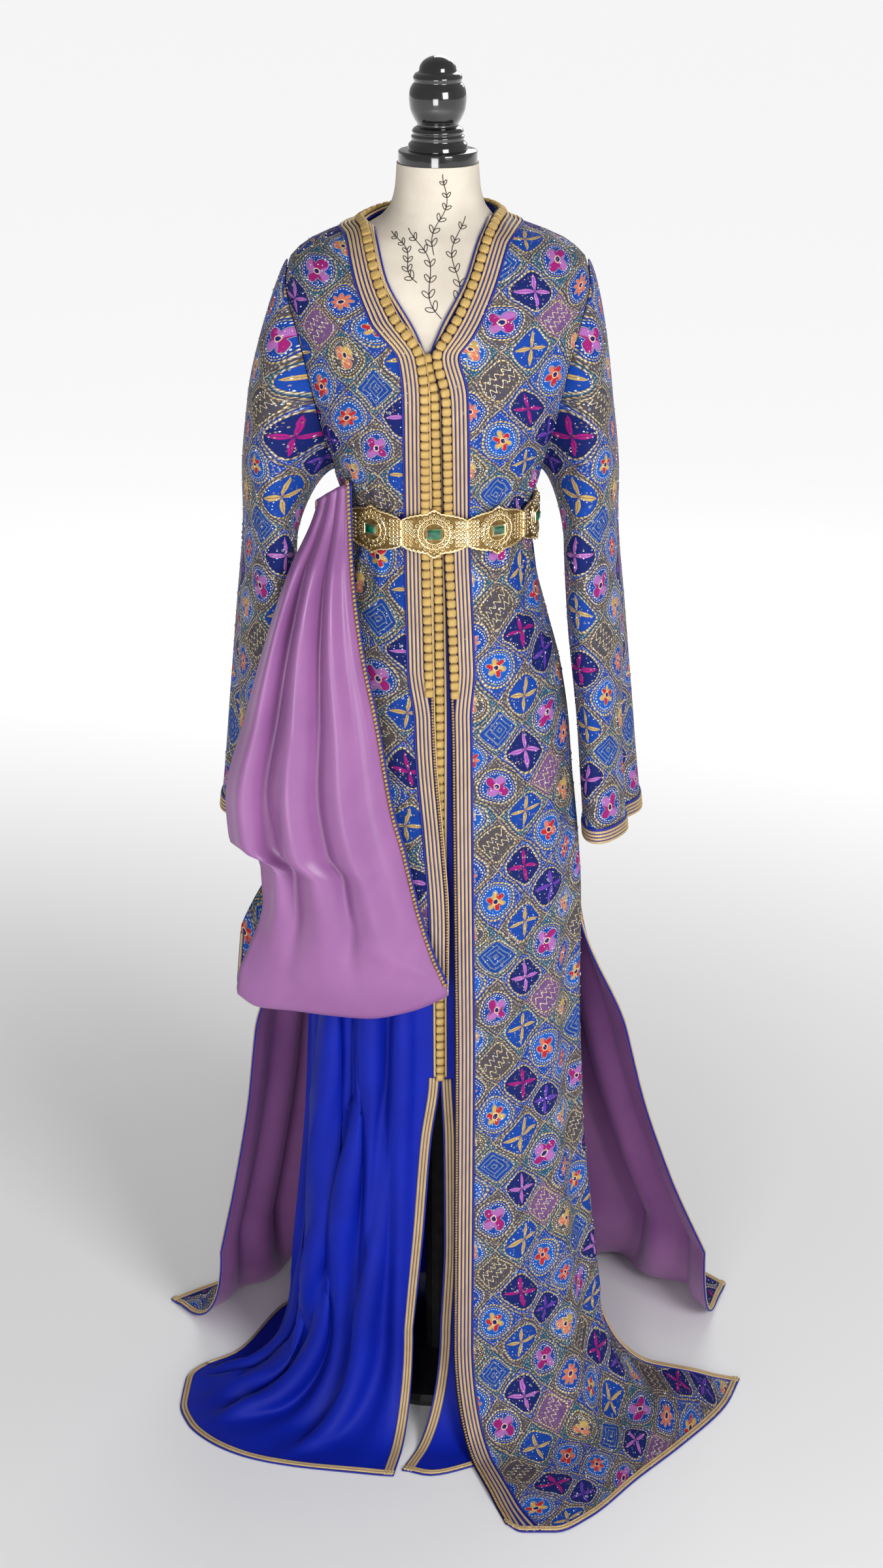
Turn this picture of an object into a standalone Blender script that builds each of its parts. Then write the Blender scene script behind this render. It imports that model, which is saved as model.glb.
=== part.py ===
# A two-piece kaftan on a dress form: a plain underdress, an embroidered overdress
# whose front left panel is turned up into the belt, braids, knots and a belt of plates.
# Metres, +Z up, the front faces -Y, the origin is on the floor under the pole.
import math

import bmesh
import bpy
import numpy as np

for leftover in list(bpy.data.objects):
    bpy.data.objects.remove(leftover)

# Cloth
crepeThickness = 0.0015
embroideredThickness = 0.0020
seamGap = 0.0004
trimGap = 0.0009
neckTrimGap = 0.0028
cuffTrimGap = 0.0007

# Dress form and its stand
formEase = 0.0004
formBottom = 0.860
neckTop = 1.512
capRadius = 0.043
capHeight = 0.013
poleRadius = 0.016
baseRadius = 0.120
baseHeight = 0.016
turnedGap = 0.0003

# Heights on the garment
armholeTop = 1.405
armholeBottom = 1.175
armholeSeam = 0.0040
cornerHeight = 0.130
cornerReach = 0.085
overdressFloor = 0.0023
swagTop = 1.166
swagFold = 0.013
swagRoll = 0.005
swagTuck = 0.008
slitFlare = 0.030
slitFlareDepth = 0.055

# Trims
cordPitch = 0.0044
frontCords = 4
cuffCords = 3
cordRise = 0.0022
knotPitch = 0.0103
knotsEnd = 0.940
knotWidth = 0.0090
beltHeight = 1.124
beltLift = 0.0138
beltRingRise = 0.018
beltTurn = 0.004
plateMiddle = 0.028
plateShoulder = 0.020
plateHinge = 0.0125
plateThickness = 0.0026
plateCount = 9

# Finial: radius, height over the cap
finialProfile = (
    (0.0, 0.0985), (0.0080, 0.0970), (0.0150, 0.0915), (0.0182, 0.0850), (0.0165, 0.0790),
    (0.0235, 0.0750), (0.0255, 0.0710), (0.0240, 0.0670), (0.0285, 0.0590), (0.0308, 0.0480),
    (0.0285, 0.0370), (0.0220, 0.0290), (0.0195, 0.0240), (0.0250, 0.0190), (0.0305, 0.0120),
    (0.0330, 0.0040), (0.0330, 0.0), (0.0, 0.0),
)

# The figure that every layer is measured from. The form itself ends at formBottom,
# and the rows under it are the core that the skirts hang round.
# height, half width, front depth, back depth
figureRows = (
    (0.130, 0.162, 0.140, 0.142),
    (0.250, 0.150, 0.130, 0.134),
    (0.380, 0.140, 0.120, 0.124),
    (0.520, 0.137, 0.115, 0.117),
    (0.700, 0.143, 0.112, 0.112),
    (0.860, 0.138, 0.104, 0.106),
    (0.930, 0.130, 0.099, 0.102),
    (1.000, 0.114, 0.092, 0.094),
    (1.060, 0.101, 0.085, 0.083),
    (1.120, 0.096, 0.082, 0.074),
    (1.180, 0.108, 0.092, 0.077),
    (1.240, 0.130, 0.106, 0.082),
    (1.290, 0.146, 0.110, 0.086),
    (1.340, 0.156, 0.104, 0.088),
    (1.380, 0.161, 0.092, 0.085),
    (1.405, 0.157, 0.082, 0.079),
    (1.421, 0.141, 0.074, 0.072),
    (1.436, 0.108, 0.066, 0.065),
    (1.446, 0.078, 0.059, 0.060),
    (1.456, 0.061, 0.053, 0.055),
    (1.470, 0.051, 0.048, 0.050),
    (1.490, 0.0465, 0.0460, 0.0465),
    (1.530, 0.0440, 0.0440, 0.0440),
)

# How far the inner face of each layer stands off the figure.
# height, underdress, overdress
liftRows = (
    (0.130, 0.004, 0.034),
    (0.380, 0.004, 0.030),
    (0.645, 0.005, 0.024),
    (0.840, 0.004, 0.014),
    (1.000, 0.003, 0.010),
    (1.120, 0.002, 0.006),
    (1.240, 0.003, 0.008),
    (1.350, 0.003, 0.0068),
    (1.385, 0.0028, 0.0056),
    (1.405, 0.0016, 0.0042),
    (1.470, 0.0016, 0.0042),
)

# Front edges of the overdress, as distances from the middle plane.
# height, left edge, right edge
overdressEdgeRows = (
    (0.130, 0.016, 0.017),
    (0.500, 0.016, 0.018),
    (0.640, 0.013, 0.017),
    (0.760, 0.006, 0.016),
    (0.880, -0.003, 0.015),
    (1.000, -0.006, 0.011),
    (1.100, -0.008, 0.007),
    (1.280, -0.009, 0.004),
    (1.325, -0.014, -0.006),
    (1.345, -0.026, 0.005),
    (1.360, -0.039, 0.015),
    (1.400, -0.059, 0.034),
    (1.437, -0.069, 0.047),
    (1.456, -0.075, 0.057),
)

# Middle line of the underdress, and the slit that opens below its knots.
# height, left edge, right edge
underdressEdgeRows = (
    (0.130, -0.0310, 0.0030),
    (0.250, -0.0185, 0.0080),
    (0.380, -0.0085, 0.0070),
    (0.465, 0.0015, 0.0035),
    (0.640, 0.0018, 0.0022),
    (0.900, 0.0018, 0.0022),
    (1.100, -0.0004, 0.0000),
    (1.280, -0.0034, -0.0030),
    (1.320, -0.0120, -0.0085),
    (1.345, -0.0220, 0.0000),
    (1.400, -0.0545, 0.0295),
    (1.437, -0.0645, 0.0425),
    (1.456, -0.0700, 0.0530),
)

# Folds of the skirts: degrees round from the middle of the front, how far the ridge
# stands out at the floor, and its half width in degrees.
underdressFolds = (
    (-83, 0.022, 4.5),
    (-69, 0.016, 4.0),
    (-56, 0.022, 4.0),
    (-42, 0.016, 4.0),
    (-29, 0.020, 4.0),
    (-15, 0.013, 3.5),
    (22, 0.008, 5.0),
    (48, 0.010, 6.0),
    (76, 0.008, 6.0),
    (115, 0.010, 8.0),
    (150, 0.012, 8.0),
    (185, 0.010, 8.0),
    (220, 0.012, 8.0),
    (250, 0.010, 7.0),
)
overdressFolds = (
    (30, 0.006, 7.0),
    (52, 0.010, 7.0),
    (74, 0.012, 6.0),
    (106, 0.020, 6.0),
    (130, 0.026, 7.0),
    (155, 0.022, 7.0),
    (180, 0.026, 7.0),
    (205, 0.022, 7.0),
    (230, 0.026, 7.0),
    (254, 0.018, 6.0),
)
# height, share of the full fold
foldSwellRows = ((0.130, 1.00), (0.380, 0.85), (0.645, 0.50), (0.860, 0.15), (1.000, 0.00))

# Hems on the floor: degrees round, x, y
underdressHem = (
    (-100, -0.262, -0.004),
    (-90, -0.300, -0.030),
    (-80, -0.319, -0.062),
    (-68, -0.321, -0.116),
    (-56, -0.309, -0.157),
    (-44, -0.279, -0.195),
    (-32, -0.229, -0.227),
    (-20, -0.173, -0.244),
    (-12, -0.110, -0.255),
    (-4, -0.054, -0.263),
    (0, -0.043, -0.252),
    (8, -0.010, -0.262),
    (20, 0.050, -0.240),
    (45, 0.150, -0.190),
    (70, 0.200, -0.090),
    (90, 0.212, 0.000),
    (120, 0.200, 0.100),
    (150, 0.118, 0.176),
    (180, 0.000, 0.205),
    (210, -0.118, 0.180),
    (240, -0.205, 0.110),
)
overdressFrontHem = (
    (0, 0.080, -0.355),
    (14, 0.100, -0.370),
    (24, 0.137, -0.370),
    (34, 0.176, -0.344),
    (52, 0.239, -0.268),
    (68, 0.300, -0.198),
    (82, 0.359, -0.118),
    (90, 0.381, -0.062),
)
overdressBackHem = (
    (90, 0.385, 0.160),
    (100, 0.352, 0.196),
    (115, 0.290, 0.250),
    (140, 0.170, 0.310),
    (180, 0.000, 0.335),
    (220, -0.150, 0.290),
    (240, -0.215, 0.225),
    (255, -0.275, 0.178),
    (264, -0.320, 0.148),
    (270, -0.355, 0.122),
)
# The back skirt opens out below the side slits: height, left factor, right factor
backSpreadRows = (
    (0.130, 1.26, 1.58),
    (0.250, 1.22, 1.42),
    (0.460, 1.16, 1.20),
    (0.645, 1.00, 1.00),
    (0.700, 1.00, 1.00),
)

# The sleeve as it hangs: height, middle x, middle y, half width, half depth, lean of the depth
sleeveRows = (
    (0.740, 0.2075, 0.012, 0.026, 0.080, 0.30),
    (0.800, 0.2020, 0.012, 0.026, 0.081, 0.28),
    (0.886, 0.1945, 0.012, 0.027, 0.082, 0.24),
    (1.000, 0.1825, 0.010, 0.029, 0.084, 0.20),
    (1.100, 0.1745, 0.008, 0.028, 0.086, 0.16),
    (1.175, 0.1720, 0.006, 0.030, 0.082, 0.10),
    (1.280, 0.1640, 0.004, 0.027, 0.076, 0.04),
    (1.360, 0.1600, 0.002, 0.026, 0.062, 0.00),
    (1.405, 0.1500, 0.000, 0.024, 0.050, 0.00),
)
leftSleeveShift = 0.017
# A deep fold down the outer side of the sleeve parts its front half from its back half
sleeveFold = 0.013
sleeveFoldWidth = 16.0

# The turned-up panel, seen from the front: height, its gold edge x and y,
# its outer side x and y, and how far it bulges between them.
swagRows = (
    (0.550, 0.016, -0.176, -0.238, -0.118, 0.016),
    (0.600, 0.012, -0.176, -0.232, -0.118, 0.024),
    (0.640, -0.004, -0.172, -0.217, -0.120, 0.028),
    (0.697, -0.022, -0.168, -0.204, -0.124, 0.030),
    (0.740, -0.032, -0.164, -0.204, -0.124, 0.030),
    (0.768, -0.038, -0.162, -0.238, -0.120, 0.030),
    (0.817, -0.051, -0.158, -0.241, -0.120, 0.028),
    (0.919, -0.068, -0.148, -0.216, -0.118, 0.024),
    (1.010, -0.086, -0.132, -0.190, -0.110, 0.020),
    (1.085, -0.095, -0.108, -0.163, -0.092, 0.016),
    (1.124, -0.097, -0.090, -0.142, -0.060, 0.012),
    (1.170, -0.098, -0.070, -0.126, -0.044, 0.006),
)
# Bottom of the turned-up panel: share of the way across, height
swagBottomRows = ((0.0, 0.592), (0.2, 0.572), (0.4, 0.561), (0.7, 0.560), (0.9, 0.556), (1.0, 0.566))
# Its folds: share of the way across, rise, half width
swagFolds = ((0.14, 0.006, 0.07), (0.36, 0.014, 0.07), (0.58, 0.011, 0.06), (0.80, 0.014, 0.07))

# Rows of points down the cloth
upperHeights = (
    1.456, 1.446, 1.436, 1.421, 1.405, 1.380, 1.345, 1.300, 1.255, 1.215, 1.175,
    1.130, 1.070, 1.000, 0.930, 0.860,
)
bodyHeights = upperHeights + (0.750, 0.645, 0.520, 0.380, 0.250, 0.130)
underHeights = upperHeights + (0.645, 0.465, 0.300, 0.130)
swagHeights = upperHeights[1:] + (0.790, 0.745, 0.715, 0.680, 0.645)
floorTravel = (0.17, 0.34, 0.50, 0.72, 0.86, 1.00)


# Tables

def curveAt(rows, key):
    # Reads a table along a smooth curve that never overshoots its rows
    table = np.array(rows, float)
    keys, values = table[:, 0], table[:, 1:]
    slopes = np.diff(values, axis=0) / np.diff(keys)[:, None]
    tangents = np.zeros_like(values)
    tangents[0], tangents[-1] = slopes[0], slopes[-1]
    before, after = slopes[:-1], slopes[1:]
    together = before * after > 0
    total = np.where(together, before + after, 1.0)
    tangents[1:-1] = np.where(together, 2 * before * after / total, 0.0)
    key = np.clip(np.asarray(key, float), keys[0], keys[-1])
    low = np.clip(np.searchsorted(keys, key, side="right") - 1, 0, len(keys) - 2)
    span = (keys[low + 1] - keys[low])[..., None]
    part = (key - keys[low])[..., None] / span
    result = (
        (2 * part**3 - 3 * part**2 + 1) * values[low]
        + (part**3 - 2 * part**2 + part) * span * tangents[low]
        + (3 * part**2 - 2 * part**3) * values[low + 1]
        + (part**3 - part**2) * span * tangents[low + 1]
    )
    return np.moveaxis(result, -1, 0)


def smoothStep(low, high, value):
    part = np.clip((value - low) / (high - low), 0, 1)
    return part * part * (3 - 2 * part)


def unit(vectors):
    return vectors / np.linalg.norm(vectors, axis=-1, keepdims=True)


# The figure and the layers on it

def figure(angle, height):
    # A point of the figure; the angle runs from the front round by the right side
    half, front, back = curveAt(figureRows, height)
    across, forward = np.sin(angle), np.cos(angle)
    depth = np.where(forward > 0, front, back)
    x = half * np.sign(across) * np.abs(across) ** 0.92
    y = -depth * np.sign(forward) * np.abs(forward) ** 0.92
    return np.stack(np.broadcast_arrays(x, y, height), axis=-1)


def lifted(angle, height, lift):
    # The figure's point moved straight out of its surface
    angle, height = np.broadcast_arrays(np.asarray(angle, float), np.asarray(height, float))
    round_ = figure(angle + 0.02, height) - figure(angle - 0.02, height)
    upward = figure(angle, height + 0.002) - figure(angle, height - 0.002)
    return figure(angle, height) + unit(np.cross(round_, upward)) * np.asarray(lift)[..., None]


def angleOf(x, height):
    # Angle at which the front of the figure has this x
    half = curveAt(figureRows, height)[0]
    share = np.clip(np.abs(x) / half, 0, 1) ** (1 / 0.92)
    return np.sign(x) * np.arcsin(share)


def foldLift(folds, angle, height):
    degrees = np.degrees(angle)
    swell = curveAt(foldSwellRows, height)[0]
    return swell * sum(rise * np.exp(-(((degrees - at) / wide) ** 2)) for at, rise, wide in folds)


def armholeGap(height):
    # Angle that the armhole takes off the side of a panel, straight between its rows
    rows = np.array(upperHeights[::-1])
    part = np.clip((rows - armholeBottom) / (armholeTop - armholeBottom), 0, 1)
    return np.interp(height, rows, math.radians(25) * np.sin(math.pi * part) ** 0.7)


def ontoFloor(foot, hem, travel, ground, ripple):
    # Carries a skirt from its foot ring, round a soft corner and out to the hem
    run = hem - foot[..., :2]
    reach = np.linalg.norm(run, axis=-1)
    turn = np.minimum(cornerReach, 0.7 * reach)
    bend = np.clip(travel / 0.5, 0, 1) * math.pi / 2
    flat = np.clip((travel - 0.5) / 0.5, 0, 1)
    distance = turn * (1 - np.cos(bend)) + (reach - turn) * flat
    plan = foot[..., :2] + run * (distance / reach)[..., None]
    height = ground + (cornerHeight - ground) * (1 - np.sin(bend)) + ripple
    return np.concatenate([plan, height[..., None]], axis=-1)


# Panels, each a grid of points: rows run down the cloth, columns across it

def columnsBetween(start, end, folds, plain):
    # Column places in degrees: the edges, each ridge, and the hollows between ridges
    ridges = sorted(fold[0] for fold in folds if min(start, end) < fold[0] < max(start, end))
    if not ridges:
        return np.linspace(start, end, plain)
    stops = [min(start, end)] + ridges + [max(start, end)]
    places = [stops[0]]
    for near, far in zip(stops, stops[1:]):
        places += [(near + far) / 2, far]
    return np.array(places if start < end else places[::-1], float)


def skirtPanel(shares, heights, edgeOf, sideOf, liftColumn, folds, hem, ground, spread=None):
    # The body rows, then the floor rows, of one panel
    heights = np.array(heights)[:, None]
    shares = np.asarray(shares)[None, :]
    angle = edgeOf(heights) + (sideOf(heights) - edgeOf(heights)) * shares
    lift = curveAt(liftRows, heights)[liftColumn] + foldLift(folds, angle, heights)
    rows = lifted(angle, heights, lift)
    if spread is not None:
        rows = spread(rows)
    foot = rows[-1]
    hemPlan = np.stack([hem(shares[0])[0], hem(shares[0])[1]], axis=-1)
    ripple = foldLift(folds, angle[-1], cornerHeight)
    for travel in floorTravel:
        level = ground * (1 - smoothStep(0.72, 0.86, travel))
        fade = 0.45 * (1 - travel) * smoothStep(0.1, 0.5, travel)
        row = ontoFloor(foot, hemPlan, np.full(foot.shape[:1], travel), level, ripple * fade)
        rows = np.concatenate([rows, row[None]], axis=0)
    return rows


def sharesOf(degrees, start, end):
    return (np.asarray(degrees, float) - start) / (end - start)


def sideLine(side):
    # Side seam of a front panel, drawn back by the armhole
    return lambda height: side * (math.pi / 2 - seamGap / 0.25 - armholeGap(height))


def frontEdge(rows, column):
    return lambda height: angleOf(curveAt(rows, height)[column], height)


def hemBetween(rows, start, end):
    return lambda shares: curveAt(rows, start + (end - start) * np.asarray(shares))


def overdressFrontRight():
    shares = sharesOf(columnsBetween(8, 90, overdressFolds, 8), 8, 90)
    return skirtPanel(
        shares, bodyHeights, frontEdge(overdressEdgeRows, 1), sideLine(1), 1,
        overdressFolds, hemBetween(overdressFrontHem, 0, 90), overdressFloor,
    )


def backPanel(heights, degrees, liftColumn, folds, hem, ground, spread=None):
    shares = sharesOf(degrees, 90, 270)

    def right(height):
        return math.pi - sideLine(1)(height)

    def left(height):
        return math.pi + sideLine(1)(height)

    rows = skirtPanel(shares, heights, right, left, liftColumn, folds, hem, ground, spread)
    neckHeights = backNeck(shares)
    angle = right(1.456 * np.ones(1)) + (left(1.456 * np.ones(1)) - right(1.456 * np.ones(1))) * shares
    for index, part in ((0, 0.0), (1, 0.5)):
        height = neckHeights + (bodyHeights[2] - neckHeights) * part
        rows[index] = lifted(angle, height, curveAt(liftRows, height)[liftColumn])
    return rows


def backNeck(shares):
    # Height of the back neckline between the two shoulder seams
    return 1.456 - 0.010 * np.asarray(shares) + 0.010 * np.sin(math.pi * np.asarray(shares))


def spreadBack(rows):
    left, right = curveAt(backSpreadRows, rows[..., 2])
    factor = np.where(rows[..., 0] < 0, left, right)
    opened = rows.copy()
    opened[..., 0] *= factor
    # Below the slits the side edges turn outwards and show the lining
    beside = smoothStep(slitFlareDepth, 0, rows[..., 1]) * smoothStep(0.645, 0.450, rows[..., 2])
    opened[..., 0] += np.sign(rows[..., 0]) * slitFlare * beside
    opened[..., 1] += 0.025 * smoothStep(0.645, 0.250, rows[..., 2])
    return opened


def overdressBack():
    return backPanel(
        bodyHeights, columnsBetween(90, 270, overdressFolds, 15), 1, overdressFolds,
        hemBetween(overdressBackHem, 90, 270), overdressFloor, spreadBack,
    )


def underdressFront(side):
    start, end = (-4, -90) if side < 0 else (4, 90)
    shares = sharesOf(columnsBetween(start, end, underdressFolds, 8), start, end)
    heights = underHeights[1:] if side < 0 else underHeights
    column = 0 if side < 0 else 1
    hemStart, hemEnd = (-4, -89.6) if side < 0 else (0, 89.6)
    return skirtPanel(
        shares, heights, frontEdge(underdressEdgeRows, column), sideLine(side), 0,
        underdressFolds, hemBetween(underdressHem, hemStart, hemEnd), 0.0,
    )


def underdressBack():
    hem = [(degrees + 360 if degrees < 0 else degrees, x, y) for degrees, x, y in underdressHem]
    hem = sorted(row for row in hem if row[0] >= 90 and row[0] <= 270)
    return backPanel(
        underHeights, columnsBetween(90, 270, underdressFolds, 11), 0, underdressFolds,
        hemBetween(hem, 90.4, 269.6), 0.0,
    )


def swagFront(share, height):
    # The turned-up layer of the front left panel
    goldX, goldY, outerX, outerY, bulge = curveAt(swagRows, height)
    bow = bulge * np.sin(math.pi * share) ** 0.8
    crease = sum(rise * np.exp(-(((share - at) / wide) ** 2)) for at, rise, wide in swagFolds)
    crease = crease * smoothStep(0.57, 0.80, height) * (1 - 0.6 * smoothStep(1.0, 1.15, height))
    x = goldX + (outerX - goldX) * share - 0.3 * crease
    y = goldY + (outerY - goldY) * share - bow - crease
    return np.stack(np.broadcast_arrays(x, y, height), axis=-1)


def overdressFrontLeft():
    # Down the body, round the fold at the bottom, and up again to the belt
    shares = np.array([0, 0.07, 0.14, 0.25, 0.36, 0.47, 0.58, 0.69, 0.80, 0.90, 1])
    edge, side = frontEdge(overdressEdgeRows, 0), sideLine(-1)
    bottom = curveAt(swagBottomRows, shares)[0]
    foldFront = swagFront(shares, bottom + swagFold)
    foldBack = foldFront + np.array([0, 2 * swagFold, 0])
    rows = []
    for height in swagHeights:
        angle = edge(height) + (side(height) - edge(height)) * shares
        lift = curveAt(liftRows, height)[1] + 0 * shares
        hanging = lifted(angle, height + 0 * shares, lift)
        settle = smoothStep(0.76, 0.62, height)
        hanging[:, :2] += (foldBack[:, :2] - hanging[:, :2]) * settle
        rows.append(hanging)
    rows.append(foldBack)
    for turn in (45, 90, 135):
        swing = math.radians(turn)
        curl = foldBack + np.array([0, -swagFold * (1 - math.cos(swing)), -swagFold * math.sin(swing)])
        rows.append(curl)
    rows.append(foldFront)
    for part in (0.07, 0.15, 0.24, 0.32, 0.36, 0.45, 0.58, 0.72, 0.85, 0.93, 1.0):
        height = bottom + swagFold + (swagTop - bottom - swagFold) * part
        rows.append(swagFront(shares, height))
    # The top rolls back over the belt
    top = rows[-1]
    for turn in (45, 90, 135, 180):
        swing = math.radians(turn)
        rows.append(top + np.array([0, swagRoll * (1 - math.cos(swing)), swagRoll * math.sin(swing)]))
    rows.append(rows[-1] - np.array([0, 0, swagTuck]))
    return np.array(rows)


def sleeve(side):
    # Rings from the armhole down to the cuff
    around = np.linspace(0, 2 * math.pi, 17)
    middle, half = (armholeTop + armholeBottom) / 2, (armholeTop - armholeBottom) / 2
    startHeight = middle + half * np.cos(around)
    rows = np.array([height for height in upperHeights[::-1] if armholeBottom <= height <= armholeTop])
    start = np.zeros((len(around), 3))
    for half, turn in ((np.sin(around) > 0, -1), (np.sin(around) <= 0, 1)):
        # The panel's own edge, front or back, read at each height
        edge = lifted(math.pi / 2 + turn * armholeGap(rows), rows, curveAt(liftRows, rows)[1])
        for axis in range(3):
            start[half, axis] = np.interp(startHeight[half], rows, edge[:, axis])
    start[:, 0] += armholeSeam
    offSide = np.degrees((around + math.pi) % (2 * math.pi) - math.pi)
    fold = sleeveFold * np.exp(-((offSide / sleeveFoldWidth) ** 2))
    rings = []
    for part in (0, 0.04, 0.10, 0.18, 0.29, 0.42, 0.57, 0.72, 0.87, 1.0):
        height = startHeight + (sleeveRows[0][0] - startHeight) * part
        middleX, middleY, wide, deep, lean = curveAt(sleeveRows, height)
        shift = leftSleeveShift * smoothStep(1.40, 1.25, height) if side < 0 else 0
        upright = np.sqrt(1 - lean**2)
        wide = wide - fold * smoothStep(1.02, 0.80, height)
        hang = np.stack([
            middleX + shift + wide * np.cos(around) * upright - deep * np.sin(around) * lean,
            middleY - wide * np.cos(around) * lean - deep * np.sin(around) * upright,
            height,
        ], axis=-1)
        share = smoothStep(0, 0.20, part)
        rings.append(start + (hang - start) * share if part < 0.20 else hang)
    rings = np.array(rings)
    rings[..., 0] *= side
    return rings


# Making the objects

def material(name, colour, roughness, metallic=0.0, transmission=0.0):
    made = bpy.data.materials.new(name)
    made.use_nodes = True
    shader = made.node_tree.nodes["Principled BSDF"]
    shader.inputs["Base Color"].default_value = (*colour, 1)
    shader.inputs["Roughness"].default_value = roughness
    shader.inputs["Metallic"].default_value = metallic
    shader.inputs["Transmission Weight"].default_value = transmission
    return made


collection = bpy.data.collections.new("kaftan_on_dress_form")
bpy.context.scene.collection.children.link(collection)
linen = material("linen", (0.78, 0.72, 0.62), 0.9)
blackGloss = material("black_gloss_wood", (0.01, 0.01, 0.01), 0.12)
stand = material("stand_paint", (0.015, 0.015, 0.016), 0.4)
crepe = material("blue_crepe", (0.0, 0.01, 0.42), 0.75)
embroidery = material("embroidered_net", (0.13, 0.17, 0.30), 0.7)
gold = material("gold_passementerie", (0.62, 0.42, 0.14), 0.45, 0.6)
brass = material("gilt_brass", (0.90, 0.62, 0.20), 0.25, 1.0)
emerald = material("green_glass", (0.0, 0.22, 0.12), 0.05, 0.0, 0.6)


def addObject(name, mesh, finish, smooth=True):
    mesh.materials.append(finish)
    if smooth:
        mesh.shade_smooth()
    made = bpy.data.objects.new(name, mesh)
    collection.objects.link(made)
    return made


def gridMesh(name, points, closed=False, flip=False):
    # A plain grid moved onto the rows and columns of points
    rows, columns = points.shape[:2]
    sheet = bmesh.new()
    bmesh.ops.create_grid(sheet, x_segments=columns - 1, y_segments=rows - 1, size=1)
    for vertex in sheet.verts:
        column = round((vertex.co.x + 1) / 2 * (columns - 1))
        row = round((vertex.co.y + 1) / 2 * (rows - 1))
        vertex.co = points[row, column]
    if closed:
        bmesh.ops.remove_doubles(sheet, verts=sheet.verts, dist=0.00001)
    if flip:
        bmesh.ops.reverse_faces(sheet, faces=sheet.faces)
    mesh = bpy.data.meshes.new(name)
    sheet.to_mesh(mesh)
    sheet.free()
    return mesh


def addWall(name, points, thickness, finish, closed=False, flip=False):
    # Cloth: an open surface that Solidify thickens on its outer side
    made = addObject(name, gridMesh(name, points, closed, flip), finish)
    solid = made.modifiers.new("thickness", "SOLIDIFY")
    solid.thickness = thickness
    solid.offset = 1
    return made


def addLoft(name, rings, finish, closedRun=False):
    # A solid strip through rings of points, capped at both ends unless it runs round
    rings = np.asarray(rings)
    count, around = rings.shape[:2]
    strip = bmesh.new()
    made = [[strip.verts.new(point) for point in ring] for ring in rings]
    for index in range(count if closedRun else count - 1):
        near, far = made[index], made[(index + 1) % count]
        for place in range(around):
            beside = (place + 1) % around
            strip.faces.new((near[place], near[beside], far[beside], far[place]))
    if not closedRun:
        strip.faces.new(made[0][::-1])
        strip.faces.new(made[-1])
    bmesh.ops.recalc_face_normals(strip, faces=strip.faces)
    mesh = bpy.data.meshes.new(name)
    strip.to_mesh(mesh)
    strip.free()
    return addObject(name, mesh, finish)


def addTurned(name, profile, segments, finish):
    # A profile of radius and height, top to bottom, turned round the axis
    sheet = bmesh.new()
    chain = [sheet.verts.new((radius, 0, height)) for radius, height in profile]
    for upper, lower in zip(chain, chain[1:]):
        sheet.edges.new((upper, lower))
    mesh = bpy.data.meshes.new(name)
    sheet.to_mesh(mesh)
    sheet.free()
    made = addObject(name, mesh, finish)
    turn = made.modifiers.new("turn", "SCREW")
    turn.steps = turn.render_steps = segments
    turn.use_merge_vertices = True
    turn.merge_threshold = 0.00001
    return made


# The dress form and its stand

def addTorso():
    heights = list(upperHeights[::-1]) + [1.470, 1.490, neckTop]
    around = np.linspace(0, 2 * math.pi, 25)[:-1]
    rings = [lifted(around, np.full(24, height), -formEase) for height in heights]
    return addLoft("form_torso", rings, linen)


def addStand():
    capBottom = neckTop + turnedGap
    capTop = capBottom + capHeight
    addTurned("neck_cap", (
        (0, capTop), (capRadius - 0.002, capTop), (capRadius, capTop - 0.002),
        (capRadius, capBottom + 0.002), (capRadius - 0.002, capBottom), (0, capBottom),
    ), 24, blackGloss)
    foot = capTop + turnedGap
    addTurned("finial", [(radius, foot + rise) for radius, rise in finialProfile], 20, blackGloss)
    addTurned("base", (
        (0, baseHeight), (0.030, baseHeight), (baseRadius - 0.006, baseHeight - 0.004),
        (baseRadius, baseHeight - 0.010), (baseRadius, 0), (0, 0),
    ), 32, stand)
    poleTop, poleFoot = formBottom - turnedGap, baseHeight + turnedGap
    addTurned("pole", (
        (0, poleTop), (poleRadius, poleTop), (poleRadius, poleFoot), (0, poleFoot),
    ), 12, stand)


# Trims, made from the points of the panels they lie on

trimReach = np.linspace(0, 0.032, 9)


def onOverdress(angle, height):
    return lifted(angle, height, curveAt(liftRows, height)[1])


def neckRun(side):
    # Stations round the neckline, from the middle of the back to the front of the shoulder
    shares = np.linspace(0.5, 0 if side > 0 else 1, 8)
    angles = list(math.pi * (0.5 + shares))
    heights = list(backNeck(shares))
    if side < 0:
        angles = [angle - 2 * math.pi for angle in angles]
    for height in (1.4545, 1.452, 1.449, 1.446, 1.441) if side > 0 else (1.4452, 1.4440, 1.442, 1.439):
        column = 1 if side > 0 else 0
        angles.append(float(angleOf(curveAt(overdressEdgeRows, height)[column], height)))
        heights.append(height)
    angles, heights = np.array(angles), np.array(heights)
    along = unit(np.gradient(onOverdress(angles, heights), axis=0))
    points = [onOverdress(angles, heights)]
    step = trimReach[1]
    for _ in trimReach[1:]:
        # Steps over the surface, straight away from the neckline
        turned = (onOverdress(angles + 0.01, heights) - points[-1]) / 0.01
        climbed = (onOverdress(angles, heights + 0.001) - points[-1]) / 0.001
        out = unit(np.cross(turned, climbed))
        away = unit(np.cross(out, along)) * side
        for index in range(len(angles)):
            frame = np.stack([turned[index], climbed[index]], axis=-1)
            move = np.linalg.lstsq(frame, away[index] * step, rcond=None)[0]
            angles[index] += move[0]
            heights[index] += move[1]
        points.append(onOverdress(angles, heights))
    return np.stack(points, axis=1)


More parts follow.
